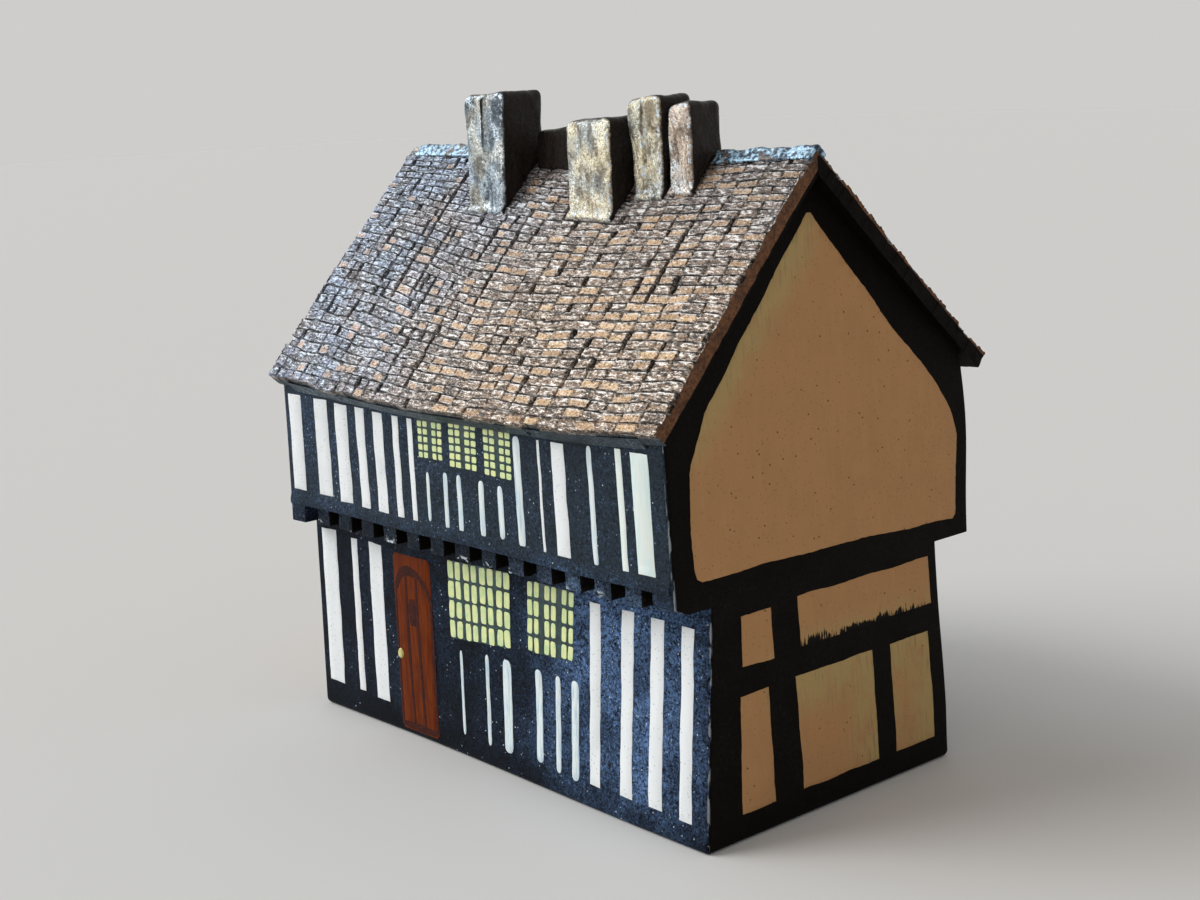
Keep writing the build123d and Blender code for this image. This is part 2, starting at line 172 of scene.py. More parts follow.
def twist(point):
    """How far back the ground storey's front stands; towards the right its foot comes forward."""
    ground, upper = FACES["front_ground"].origin.y, FACES["front_upper"].origin.y
    rise = point.z / jetty_foot
    lean = TWIST_HEAD * rise - TWIST_FOOT * (1 - rise)
    lean *= smooth_step(TWIST_START, TWIST_END, point.x)
    lean *= smooth_step(ground + TWIST_DEPTH, ground, point.y)
    if rise > 1:
        lean *= smooth_step(upper, ground, point.y) * smooth_step(jetty_head, jetty_foot, point.z)
    return lean


# Materials
class Shader:
    """A principled material with texture helpers that read object coordinates."""

    def __init__(self, name):
        self.material = bpy.data.materials.new(name)
        self.material.use_nodes = True
        self.tree = self.material.node_tree
        self.principled = self.tree.nodes["Principled BSDF"]
        self.coordinates = self.tree.nodes.new("ShaderNodeTexCoord").outputs["Object"]

    def node(self, kind, **settings):
        """A new node with its settings."""
        made = self.tree.nodes.new(kind)
        for key, value in settings.items():
            setattr(made, key, value)
        return made

    def link(self, source, target):
        """Join an output to an input, or set a plain value."""
        if hasattr(source, "is_output"):
            self.tree.links.new(source, target)
        else:
            target.default_value = source

    def stretched(self, stretch):
        """Object coordinates scaled apart along the three axes."""
        mapping = self.node("ShaderNodeMapping")
        mapping.inputs["Scale"].default_value = stretch
        self.link(self.coordinates, mapping.inputs["Vector"])
        return mapping.outputs["Vector"]

    def noise(self, size, detail=4.0, rough=0.55, stretch=(1, 1, 1), warp=0.0):
        """Noise whose features are about a size across."""
        made = self.node("ShaderNodeTexNoise")
        self.link(self.stretched(stretch), made.inputs["Vector"])
        made.inputs["Scale"].default_value = 1 / size
        made.inputs["Detail"].default_value = detail
        made.inputs["Roughness"].default_value = rough
        made.inputs["Distortion"].default_value = warp
        return made.outputs[0]

    def specks(self, spacing, radius, stretch=(1, 1, 1)):
        """1 inside small specks that are scattered about a spacing apart."""
        made = self.node("ShaderNodeTexVoronoi")
        self.link(self.stretched(stretch), made.inputs["Vector"])
        made.inputs["Scale"].default_value = 1 / spacing
        return self.range(made.outputs["Distance"], radius, radius * 0.6)

    def attribute(self, name):
        """A number stored on the mesh."""
        return self.node("ShaderNodeAttribute", attribute_name=name).outputs["Fac"]

    def range(self, source, low, high, to_low=0.0, to_high=1.0):
        """A number stretched from one range to another, smoothly and clamped."""
        made = self.node("ShaderNodeMapRange", interpolation_type="SMOOTHSTEP")
        values = (source, low, high, to_low, to_high)
        for value, key in zip(values, ("Value", "From Min", "From Max", "To Min", "To Max")):
            self.link(value, made.inputs[key])
        return made.outputs["Result"]

    def math(self, operation, first, second=0.0):
        """One or two numbers put through an operation."""
        made = self.node("ShaderNodeMath", operation=operation)
        self.link(first, made.inputs[0])
        self.link(second, made.inputs[1])
        return made.outputs[0]

    def times(self, first, second):
        """Two numbers multiplied."""
        return self.math("MULTIPLY", first, second)

    def plus(self, first, second):
        """Two numbers added."""
        return self.math("ADD", first, second)

    def larger(self, first, second):
        """The larger of two numbers."""
        return self.math("MAXIMUM", first, second)

    def mix(self, factor, first, second):
        """A colour between two colours."""
        made = self.node("ShaderNodeMix", data_type="RGBA")
        for value, index in ((factor, 0), (first, 6), (second, 7)):
            if isinstance(value, tuple):
                value = (*value, 1.0)
            self.link(value, made.inputs[index])
        return made.outputs[2]

    def tint(self, colour, new, source, low, high, share=1.0):
        """A colour that turns into a share of a new one as a number goes from low to high."""
        return self.mix(self.range(source, low, high, 0.0, share), colour, new)

    def parts(self, vector):
        """The three numbers of a vector."""
        split = self.node("ShaderNodeSeparateXYZ")
        self.link(vector, split.inputs[0])
        return split.outputs

    def bump(self, height, depth):
        """Surface relief of a real depth."""
        made = self.node("ShaderNodeBump")
        made.inputs["Distance"].default_value = depth
        self.link(height, made.inputs["Height"])
        self.link(made.outputs["Normal"], self.principled.inputs["Normal"])

    def finish(self, colour, roughness, **plain):
        """Set the colour, the roughness and plain values of the shader."""
        base = (*colour, 1.0) if isinstance(colour, tuple) else colour
        self.link(base, self.principled.inputs["Base Color"])
        self.link(roughness, self.principled.inputs["Roughness"])
        for key, value in plain.items():
            self.principled.inputs[key.replace("_", " ").title().replace("Ior", "IOR")].default_value = value
        return self.material


# Where a bluish sheen is painted into the black paint and where it is dulled: places along the walls, and
# heights above the foot
GROUND_SHEEN_X = (2 * MM, 28 * MM)
UPPER_SHEEN_X = (-45 * MM, 30 * MM)
CORNER_DULL_X = (36 * MM, 48 * MM)
FOOT_DULL_Z = (1.5 * MM, 7 * MM)
# A slate grey painted as sheen on the upper storey's black
SLATE_SHEEN = (0.036, 0.050, 0.062)
# Pale chips on worn corners, which also stand as a painted highlight along the corner edge, and painted
# glints on the joists
CHIP_AND_GLINT = (0.82, 0.90, 0.96)
# Pale specks on the black paint: partly dust, partly painted glints
DUST_AND_GLINT = (0.66, 0.74, 0.80)


def black_paint(name, dark, light, rough, dust_and_glint, shine, chips=(1, 1, 0.2), slate_sheen=0.0):
    """Brushed paint on clay: a painted bluish sheen low on the right, a painted slate sheen above, painted
    sparkle, pale chips and painted glints on worn edges.
    """
    shader = Shader(name)
    strokes = shader.noise(0.75 * MM, 5, 0.75, stretch=(0.7, 0.7, 0.8), warp=1.8)
    cloud = shader.noise(8 * MM, 3)
    grain = shader.noise(0.40 * MM, 4, 0.8)
    x, _, z = shader.parts(shader.coordinates)
    # A bluish sheen painted into the colour: strongest low on the right, dulled at the right corner and near
    # the foot
    ground = shader.range(x, *GROUND_SHEEN_X, 0.12, 1.0)
    ground = shader.times(ground, shader.range(x, *CORNER_DULL_X, 1.0, 0.45))
    ground = shader.times(ground, shader.range(z, jetty_head, jetty_foot))
    upper = shader.range(x, *UPPER_SHEEN_X, 0.50, 0.24)
    upper = shader.times(upper, shader.range(z, jetty_foot, jetty_head))
    # The share of painted bluish sheen at each place
    thin = shader.times(shader.plus(ground, upper), shader.range(z, *FOOT_DULL_Z, 0.35, 1.0))
    patches = shader.times(shader.range(cloud, 0.32, 0.62, 0.45, 1.1), thin)
    sheen = shader.times(shader.range(strokes, 0.36, 0.62), patches)
    colour = shader.mix(sheen, dark, light)
    # Painted slate-grey sheen on the upper storey
    colour = shader.tint(colour, SLATE_SHEEN, z, jetty_foot, jetty_head, slate_sheen)
    colour = shader.tint(colour, tuple(part * 0.4 for part in dark), grain, 0.48, 0.38, 0.7)
    # Painted sparkle where the sheen lies
    painted_sparkle = shader.times(shader.range(grain, 0.58, 0.66), patches)
    colour = shader.mix(painted_sparkle, colour, tuple(part * 2.2 for part in light))
    # Pale chips on worn corners and painted glints along the joists' lower edges
    chipped_and_glinting = shader.range(shader.noise(0.8 * MM, 3, stretch=chips), 0.51, 0.58, 0.0, 0.95)
    colour = shader.mix(shader.times(shader.attribute("wear_and_glint"), chipped_and_glinting), colour, CHIP_AND_GLINT)
    # Pale specks, partly dust and partly painted glints
    dots = shader.times(shader.specks(1.1 * MM, 0.13), shader.range(cloud, 0.40, 0.6, 0.0, dust_and_glint))
    colour = shader.mix(dots, colour, DUST_AND_GLINT)
    shader.bump(shader.plus(strokes, shader.times(grain, 0.8)), 0.2 * MM)
    roughness = shader.range(strokes, 0.3, 0.8, rough, rough + 0.2)
    return shader.finish(colour, roughness, specular_ior_level=shine)


def bare_clay(name, colour, speck_colour, streak):
    """Pale fired clay with fine dark specks and faint marks of the tool that smoothed it."""
    shader = Shader(name)
    cloud = shader.noise(6 * MM, 4)
    grain = shader.noise(0.35 * MM, 3)
    marks = shader.noise(1.1 * MM, 3, 0.6, stretch=streak)
    low = tuple(part * 0.94 for part in colour)
    high = tuple(min(part * 1.10, 0.99) for part in colour)
    base = shader.mix(shader.range(cloud, 0.3, 0.7), low, colour)
    base = shader.tint(base, high, marks, 0.45, 0.8, 0.4)
    base = shader.tint(base, tuple(part * 0.75 for part in colour), grain, 0.62, 0.75, 0.35)
    base = shader.mix(shader.specks(0.8 * MM, 0.20), base, tuple(part * 0.70 for part in colour))
    base = shader.mix(shader.specks(1.9 * MM, 0.10), base, speck_colour)
    shader.bump(shader.plus(grain, marks), 0.05 * MM)
    return shader, base


def cream_clay():
    """The bare stripes between the black timbers of the long walls."""
    shader, base = bare_clay("cream_clay", (0.94, 0.97, 0.98), (0.80, 0.79, 0.76), (1, 1, 0.2))
    return shader.finish(base, 0.55)


def shaded_buff_clay():
    """The warm panels of the gables, their buff partly darkened and warmed as painted shade and warm bounce
    light, with an olive wash and dry black bristle marks along some edges.
    """
    shader, base = bare_clay("shaded_buff_clay", (0.53, 0.285, 0.125), (0.13, 0.055, 0.025), (1, 1, 0.12))
    bristles = shader.noise(0.5 * MM, 4, 0.6, stretch=(1, 1, 0.08))
    blotches = shader.noise(4 * MM, 3, 0.6)
    wash = shader.times(shader.attribute("wash"), shader.range(blotches, 0.25, 0.6, 0.35, 1.3))
    base = shader.tint(base, (0.50, 0.385, 0.16), wash, 0.0, 1.0, 0.7)
    smear = shader.times(shader.attribute("wash"), shader.range(bristles, 0.52, 0.7))
    base = shader.mix(shader.times(smear, 0.55), base, (0.17, 0.15, 0.11))
    drag = shader.times(shader.attribute("dry"), shader.range(blotches, 0.40, 0.62, 0.30, 0.60))
    dry = shader.plus(drag, bristles)
    base = shader.tint(base, (0.003, 0.0025, 0.002), dry, 0.74, 0.86)
    return shader.finish(base, 0.6, specular_ior_level=0.1)


def brushed(name, tones, grain, spread, relief, gloss, cloud=None, shine=0.5):
    """Brushed paint: two tones along a grain, and a third colour in cloudy places where asked."""
    shader = Shader(name)
    streaks = shader.noise(*grain)
    colour = shader.mix(shader.range(streaks, *spread), *tones)
    if cloud:
        size, low, high, share, third = cloud
        colour = shader.tint(colour, third, shader.noise(size, 3), low, high, share)
    shader.bump(streaks, relief)
    roughness = shader.range(streaks, 0.3, 0.7, *gloss) if isinstance(gloss, tuple) else gloss
    return shader.finish(colour, roughness, specular_ior_level=shine)


def pale_stroke(name, thin, full):
    """Strokes of pale paint, streaky along the brush and bluish where it is thin."""
    grain = (0.4 * MM, 4, 0.6, (1, 1, 0.08))
    thin_places = (3 * MM, 0.55, 0.75, 0.45, thin)
    return brushed(name, (thin, full), grain, (0.25, 0.6), 0.05 * MM, (0.32, 0.5), thin_places)


def pane_paint():
    """Yellow-green dabs, thicker and lighter where the brush left the wall."""
    shader = Shader("pane_paint")
    cloud = shader.noise(1.6 * MM, 3)
    streaks = shader.noise(0.4 * MM, 4, 0.6, stretch=(1, 1, 0.35))
    colour = shader.mix(shader.range(cloud, 0.3, 0.7), (0.64, 0.82, 0.40), (0.92, 0.96, 0.42))
    colour = shader.tint(colour, (0.93, 0.97, 0.62), streaks, 0.46, 0.70, 0.7)
    shader.bump(streaks, 0.06 * MM)
    return shader.finish(colour, shader.range(cloud, 0.3, 0.7, 0.3, 0.5))


def glazing_paint():
    """The dark green ground that shows as lines between the dabs."""
    tones = ((0.006, 0.022, 0.024), (0.024, 0.075, 0.070))
    return brushed("glazing_paint", tones, (0.9 * MM, 3), (0.35, 0.7), 0.05 * MM, 0.42)


def door_paint():
    """Orange-brown paint brushed along the planks."""
    tones = ((0.115, 0.019, 0.004), (0.205, 0.042, 0.008))
    grain = (0.6 * MM, 5, 0.6, (1, 1, 0.1))
    shade = (4 * MM, 0.5, 0.75, 0.5, (0.085, 0.014, 0.004))
    return brushed("door_paint", tones, grain, (0.3, 0.75), 0.05 * MM, (0.4, 0.55), shade, shine=0.04)


def door_line_paint():
    """Soft dark maroon brush lines on the door."""
    tones = ((0.032, 0.008, 0.006), (0.070, 0.015, 0.009))
    return brushed("door_line_paint", tones, (0.5 * MM, 3), (0.3, 0.7), 0.04 * MM, 0.5, shine=0.08)


def knob_paint():
    """A dot of thick pale yellow paint."""
    tones = ((0.62, 0.54, 0.14), (0.84, 0.78, 0.36))
    return brushed("knob_paint", tones, (0.5 * MM, 2), (0.3, 0.7), 0.04 * MM, 0.3)


def tile_lustre():
    """Copper and silver lustre on impressed clay: tan fields, streaky tops, painted cool reflection, painted
    highlights on lips and glints, painted shade in dark gaps.
    """
    shader = Shader("tile_lustre")
    streaks = shader.noise(0.44 * MM, 3, 0.75, stretch=(0.30, 1, 1))
    dots = shader.noise(0.36 * MM, 3, 0.8, stretch=(0.7, 1, 1))
    patches = shader.noise(9 * MM, 3, 0.6)
    tone = shader.attribute("tone")
    # A painted cool reflection, strongest towards the left and the top
    cool_reflection = shader.times(shader.attribute("cool_reflection"), shader.range(patches, 0.3, 0.62, 0.5, 1.15))
    copper = shader.mix(tone, (0.19, 0.110, 0.055), (0.36, 0.220, 0.110))
    silver = shader.mix(tone, (0.12, 0.135, 0.180), (0.27, 0.32, 0.47))
    glint = shader.mix(cool_reflection, (0.94, 0.88, 0.80), (0.72, 0.87, 1.0))
    rough = shader.mix(cool_reflection, copper, silver)
    # Dark streaks as painted shade between the lumps, then painted glints
    rough = shader.tint(rough, (0.018, 0.013, 0.010), streaks, 0.49, 0.43, 0.95)
    rough = shader.tint(rough, glint, streaks, 0.56, 0.60)
    rough = shader.tint(rough, glint, dots, 0.59, 0.63)
    tan = shader.mix(tone, (0.40, 0.235, 0.110), (0.68, 0.44, 0.215))
    rosy = shader.mix(tone, (0.36, 0.255, 0.215), (0.68, 0.51, 0.45))
    field = shader.mix(cool_reflection, tan, rosy)
    field = shader.tint(field, (0.11, 0.07, 0.042), dots, 0.49, 0.40, 0.8)
    # Painted sparkle on the tan fields
    field = shader.tint(field, (0.95, 0.90, 0.84), dots, 0.57, 0.64, 0.85)
    ragged = shader.plus(shader.attribute("plain"), shader.range(dots, 0.3, 0.7, -0.45, 0.45))
    colour = shader.tint(rough, field, ragged, 0.38, 0.62)
    # A painted highlight along each raised lip
    lip = shader.times(shader.attribute("lip"), shader.range(streaks, 0.45, 0.54))
    colour = shader.mix(lip, colour, shader.mix(cool_reflection, (0.93, 0.91, 0.89), (0.84, 0.92, 1.0)))
    # Painted shade in the creases and deep joints, and darker towards the top
    colour = shader.mix(shader.attribute("hollow_shade"), colour, (0.012, 0.009, 0.007))
    shader.bump(shader.plus(streaks, shader.times(dots, 0.6)), 0.22 * MM)
    return shader.finish(colour, shader.range(dots, 0.3, 0.75, 0.24, 0.42), metallic=0.3)


def tile_edge():
    """The cut edge of the roof slabs, stained brown."""
    tones = ((0.060, 0.022, 0.008), (0.23, 0.095, 0.036))
    shade = (3 * MM, 0.48, 0.72, 0.8, (0.035, 0.016, 0.009))
    return brushed("tile_edge", tones, (0.5 * MM, 5, 0.7), (0.3, 0.7), 0.1 * MM, 0.5, shade, shine=0.2)


def ridge_glaze():
    """Glossy silver-blue glaze on the ridge strips, rubbed through to brown clay in places, with painted
    glints.
    """
    shader = Shader("ridge_glaze")
    grain = shader.noise(0.8 * MM, 4, 0.7)
    cloud = shader.noise(2.6 * MM, 3)
    colour = shader.mix(shader.range(grain, 0.43, 0.56), (0.016, 0.034, 0.060), (0.42, 0.64, 0.82))
    colour = shader.tint(colour, (0.13, 0.085, 0.055), cloud, 0.54, 0.64, 0.9)
    # Painted glints on the peaks of the grain
    colour = shader.tint(colour, (0.80, 0.92, 1.0), grain, 0.60, 0.68)
    shader.bump(grain, 0.16 * MM)
    return shader.finish(colour, shader.range(cloud, 0.3, 0.7, 0.2, 0.36), metallic=0.3)


def stack_lustre():
    """Silver, gold and rosy lustre on the broad faces of the chimneys, with painted highlights; their sides
    and the spine are dark brown as painted shade.
    """
    shader = Shader("stack_lustre")
    streaks = shader.noise(2.4 * MM, 4, 0.6, stretch=(1, 1, 0.5), warp=0.6)
    cloud = shader.noise(5.5 * MM, 3, 0.55, stretch=(1, 1, 0.7))
    grain = shader.noise(0.45 * MM, 4, 0.75)
    gilt = shader.plus(shader.attribute("gold"), shader.range(cloud, 0.36, 0.64, -0.45, 0.45))
    tone = shader.range(streaks, 0.36, 0.62)
    silver = shader.mix(tone, (0.085, 0.11, 0.135), (0.40, 0.475, 0.53))
    gold = shader.mix(tone, (0.30, 0.245, 0.165), (0.92, 0.83, 0.60))
    rose = shader.mix(tone, (0.26, 0.175, 0.125), (0.86, 0.66, 0.53))
    colour = shader.mix(gilt, silver, gold)
    colour = shader.mix(shader.attribute("rose"), colour, rose)
    colour = shader.tint(colour, (0.055, 0.050, 0.045), grain, 0.45, 0.36, 0.75)
    # Painted glints on the crests of the streaks, and painted flares of light
    crests = shader.range(streaks, 0.42, 0.58, 0.2, 1.0)
    glints = shader.times(shader.range(grain, 0.55, 0.61), crests)
    flare = shader.range(shader.noise(3.0 * MM, 3, 0.6, stretch=(1, 1, 0.55), warp=0.4), 0.56, 0.68)
    glints = shader.larger(glints, shader.times(flare, shader.range(grain, 0.40, 0.54)))
    colour = shader.mix(glints, colour, shader.mix(gilt, (0.80, 0.91, 1.0), (1.0, 0.96, 0.82)))
    # The broad faces look along Y; the arrises between them take a painted highlight
    _, facing, _ = shader.parts(shader.node("ShaderNodeTexCoord").outputs["Normal"])
    broad = shader.math("ABSOLUTE", facing)
    arris = shader.times(shader.range(broad, 0.58, 0.70), shader.range(broad, 0.92, 0.84))
    # Painted highlights at the tops, the feet and the arrises
    rim = shader.larger(shader.attribute("rim"), arris)
    rim = shader.times(rim, shader.range(shader.noise(0.9 * MM, 4), 0.46, 0.58, 0.0, 1.0))
    colour = shader.mix(rim, colour, (0.78, 0.86, 0.92))
    # The broad faces keep their lustre; the sides, and the whole spine, turn dark brown as painted shade
    edge = shader.plus(broad, shader.times(grain, 0.3))
    unshaded_lustre = shader.times(shader.range(edge, 0.5, 0.8), shader.attribute("lustre"))
    colour = shader.mix(unshaded_lustre, (0.014, 0.0080, 0.005), colour)
    shader.bump(shader.plus(streaks, shader.times(grain, 0.35)), 0.8 * MM)
    shader.link(shader.times(unshaded_lustre, 0.8), shader.principled.inputs["Metallic"])
    return shader.finish(colour, shader.range(grain, 0.3, 0.7, 0.16, 0.30), specular_ior_level=0.2)


def raw_clay():
    """The unpainted underside."""
    shader, base = bare_clay("raw_clay", (0.55, 0.43, 0.32), (0.20, 0.13, 0.09), (0.3, 1, 1))
    return shader.finish(base, 0.75)


BLACK = black_paint(
    "black_paint", (0.002, 0.0025, 0.004), (0.140, 0.250, 0.48), 0.38, 1.0, 0.05, slate_sheen=0.65
)
# A second black, darker and warmer: painted shade on the gables' faces, in the gaps about the joists, under
# the jetties and under the roof slabs
SHADED_BLACK = black_paint("gable_black", (0.0025, 0.002, 0.0015), (0.018, 0.014, 0.010), 0.5, 0.0, 0.05)
GLOSSY_BLACK = black_paint(
    "glossy_black", (0.003, 0.005, 0.009), (0.11, 0.18, 0.30), 0.24, 0.6, 0.06, chips=(0.8, 0.8, 1.3)
)
# A lighter grey-black for the eave coves and the lower part of the eaves' cut edges
GREY_BLACK = black_paint("grey_black", (0.042, 0.055, 0.066), (0.40, 0.50, 0.58), 0.40, 0.4, 0.08)
CREAM = cream_clay()
SHADED_BUFF = shaded_buff_clay()
STROKE = pale_stroke("pale_stroke", (0.46, 0.66, 0.80), (0.86, 0.93, 0.93))
MINT = pale_stroke("mint_stroke", (0.74, 0.95, 0.94), (0.92, 0.98, 0.92))
PANE = pane_paint()
GLAZING = glazing_paint()
DOOR = door_paint()
DOOR_LINE = door_line_paint()
KNOB = knob_paint()
TILE = tile_lustre()
TILE_EDGE = tile_edge()
RIDGE_STRIP = ridge_glaze()
STACK = stack_lustre()
RAW = raw_clay()


# Pieces
def add_piece(name, mesh, materials, nodes):
    """Put a mesh in the scene as a piece on the one body, in place of its nodes."""
    piece = bpy.data.objects.new(name, mesh)
    bpy.context.scene.collection.objects.link(piece)
    for material in materials:
        mesh.materials.append(material)
    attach(piece, "root")
    if nodes:
        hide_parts(*nodes)
    return piece


def mesh_from(bm, name):
    """A smooth mesh with crisp edges where the surface turns sharply."""
    bmesh.ops.recalc_face_normals(bm, faces=bm.faces)
    for face in bm.faces:
        face.smooth = True
    for edge in bm.edges:
        edge.smooth = len(edge.link_faces) == 2 and edge.calc_face_angle(0.0) < SHARP
    mesh = bpy.data.meshes.new(name)
    bm.to_mesh(mesh)
    bm.free()
    return mesh


def cut_grid(bm, cell, axes):
    """Cut a mesh along evenly spaced planes across the given axes, so that it can bend."""
    for axis in axes:
        values = [vertex.co[axis] for vertex in bm.verts]
        low, high = min(values), max(values)
        normal = Vector((0, 0, 0))
        normal[axis] = 1
        for step in range(1, int((high - low) / cell)):
            parts = bm.verts[:] + bm.edges[:] + bm.faces[:]
            bmesh.ops.bisect_plane(bm, geom=parts, plane_co=normal * (low + step * cell), plane_no=normal)


def node_bmesh(node):
    """A working copy of a node's mesh with its flat faces whole."""
    bm = bmesh.new()
    bm.from_mesh(frame["nodes"][node].data)
    bmesh.ops.remove_doubles(bm, verts=bm.verts, dist=MERGE)
    bmesh.ops.dissolve_limit(bm, angle_limit=FLAT, verts=bm.verts, edges=bm.edges)
    return bm


def join_rings(bm, rings, material=0):
    """Close the sides between rings of vertices that follow one another."""
    for low, high in zip(rings, rings[1:]):
        for i in range(len(low)):
            j = (i + 1) % len(low)
            bm.faces.new((low[i], low[j], high[j], high[i])).material_index = material


def store(mesh, name, values):
    """Keep one number for each vertex on a mesh."""
    layer = mesh.attributes.new(name, "FLOAT", "POINT")
    layer.data.foreach_set("value", values)


# The worn upright corners: their pale chips also stand as a painted highlight along the edge
CORNER_WEAR = 0.42 * MM


def corner_wear(point):
    """1 on the rounded upright corners between the long walls and the gables, 0 beside them."""
    worn = 0.0
    for gable in ("right", "left"):
        from_gable = abs((point - FACES[gable].origin).dot(FACES[gable].normal))
        for wall in ("front_ground", "front_upper", "back_ground", "back_upper"):
            from_wall = abs((point - FACES[wall].origin).dot(FACES[wall].normal))
            worn = max(worn, 1 - max(from_gable, from_wall) / CORNER_WEAR)
    return worn


def darken_sides(mesh, direction, least=0.75, above=0.0):
    """Give the faces that look along a direction, above a height, the second black, a painted shade."""
    for polygon in mesh.polygons:
        looks_along = polygon.normal.dot(direction) > least
        polygon.material_index = 1 if looks_along and polygon.center.z > above else 0


def slab(node, axes, material):
    """A slab of a node, cut fine enough to take the hand-built unevenness."""
    bm = node_bmesh(node)
    cut_grid(bm, SLAB_CELL, axes)
    wear_and_glint = [corner_wear(vertex.co) for vertex in bm.verts]
    for vertex in bm.verts:
        vertex.co = warp(vertex.co)
    mesh = mesh_from(bm, node)
    store(mesh, "wear_and_glint", wear_and_glint)
    # The gables' outer faces, the ground walls behind the joists and the jetty floors' undersides take the
    # painted-shade black
    if "gable" in node:
        darken_sides(mesh, FACES[node.split("_")[0]].normal)
    elif "ground_wall" in node:
        darken_sides(mesh, FACES[node.removesuffix("_wall")].normal, above=jetty_foot)
    elif "jetty_floor" in node:
        darken_sides(mesh, Vector((0, 0, -1)))
    add_piece(f"clay_{node}", mesh, [material, SHADED_BLACK], [node])


# Lumps of rubbed clay: the size of their voxels, the height of the bumps and how wide they are
JOIST_LUMPS = (0.28 * MM, 0.14 * MM, 2.2 * MM)
STACK_LUMPS = (0.22 * MM, 0.25 * MM, 3.6 * MM)
RIDGE_LUMPS = (0.15 * MM, 0.25 * MM, 2.6 * MM)
JOIST_SIDE = 0.6
STACK_END = 2.5 * MM
STACK_TILT = 0.09
STACK_GROOVE_WIDTH = 0.62 * MM
STACK_GROOVES = {"left_chimney": 0.4 * MM, "right_chimney_tall": 0.32 * MM}
# Per block: how gold and how rosy its lustre is; with lustre 0 the whole spine is dark brown as painted shade
STACK_TINTS = {
    "left_chimney": {"gold": 0.0, "rose": 0.0, "lustre": 1.0},
    "middle_chimney": {"gold": 0.75, "rose": 0.0, "lustre": 1.0},
    "right_chimney_tall": {"gold": 0.95, "rose": 0.0, "lustre": 1.0},
    "right_chimney_short": {"gold": 0.5, "rose": 0.7, "lustre": 1.0},
    "chimney_spine": {"gold": 0.0, "rose": 0.0, "lustre": 0.0},
}
RIM_TOP_DEPTHS = (1.6 * MM, 0.3 * MM)
RIM_FOOT_HEIGHTS = (1.5 * MM, 0.7 * MM)
GLINT_SPACING = 3.5 * MM
GLINT_HEIGHTS = (1.2 * MM, 0.7 * MM)


def softened(node, voxel, passes):
    """A working copy of a node's block in small voxels, with its edges rounded."""
    source = node_bmesh(node)
    rough = bpy.data.meshes.new(f"{node}_rough")
    source.to_mesh(rough)
    source.free()
    carrier = bpy.data.objects.new(f"{node}_rough", rough)
    bpy.context.scene.collection.objects.link(carrier)
    remesh = carrier.modifiers.new("voxels", "REMESH")
    remesh.mode = "VOXEL"
    remesh.voxel_size = voxel
    soften = carrier.modifiers.new("soften", "SMOOTH")
    soften.factor = 0.5
    soften.iterations = passes
    shaped = bpy.data.meshes.new_from_object(carrier.evaluated_get(bpy.context.evaluated_depsgraph_get()))
    bpy.data.objects.remove(carrier)
    bpy.data.meshes.remove(rough)
    bm = bmesh.new()
    bm.from_mesh(shaped)
    bpy.data.meshes.remove(shaped)
    bm.normal_update()
    return bm


def middle_at(bm, level):
    """Where the middle of a block is along X near a height."""
    near = [vertex.co.x for vertex in bm.verts if abs(vertex.co.z - level) < STACK_END]
    return (min(near) + max(near)) / 2


def rim_light(point, top):
    """How much painted highlight a point takes: most at a stack's top, some where it meets the front slope.
    """
    slope = SLOPES["front"]
    upper = smooth_step(top - RIM_TOP_DEPTHS[0], top - RIM_TOP_DEPTHS[1], point.z)
    lower = smooth_step(*RIM_FOOT_HEIGHTS, (point - slope.origin).dot(slope.normal))
    return max(0.8 * upper, 0.5 * lower)


def foot_glint(vertex, foot):
    """Painted glints here and there along the lower edge of a block's broad faces."""
    lower = smooth_step(foot + GLINT_HEIGHTS[0], foot + GLINT_HEIGHTS[1], vertex.co.z)
    some = smooth_step(0.05, 0.35, noise.noise(vertex.co / GLINT_SPACING))
    return lower * some * smooth_step(0.5, 0.7, abs(vertex.normal.y))


def lumpy(node, material, lumps, stretch=(1, 1, 1), passes=4, tilt=0.0, groove=0.0, values=None):
    """A node's block in pinched and rubbed clay; its top may tilt and its front may have a groove."""
    voxel, bumps, bump_size = lumps
    bm = softened(node, voxel, passes)
    wide = Vector(stretch) / bump_size
    low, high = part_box(node)
    foot_x, top_x = middle_at(bm, low[2]), middle_at(bm, high[2])
    for vertex in bm.verts:
        place = Vector([part * scale for part, scale in zip(vertex.co, wide)])
        shift = noise.fractal(place, 1.0, 2.0, 3) * bumps
        share = smooth_step(low[2], high[2], vertex.co.z)
        off = vertex.co.x - foot_x - (top_x - foot_x) * share
        shift -= groove * share * math.exp(-((off / STACK_GROOVE_WIDTH) ** 2)) * (vertex.normal.y < -0.4)
        vertex.co = warp(vertex.co + vertex.normal * shift + Vector((0, 0, share * tilt * off)))
    mesh = mesh_from(bm, node)
    # Painted highlights at a stack's top and foot, and painted glints along a block's lower edge
    store(mesh, "rim", [rim_light(vertex.co, high[2]) for vertex in mesh.vertices])
    store(mesh, "wear_and_glint", [foot_glint(vertex, low[2]) for vertex in mesh.vertices])
    for key, value in (values or {}).items():
        store(mesh, key, [value] * len(mesh.vertices))
    return add_piece(f"clay_{node}", mesh, [material], [node])


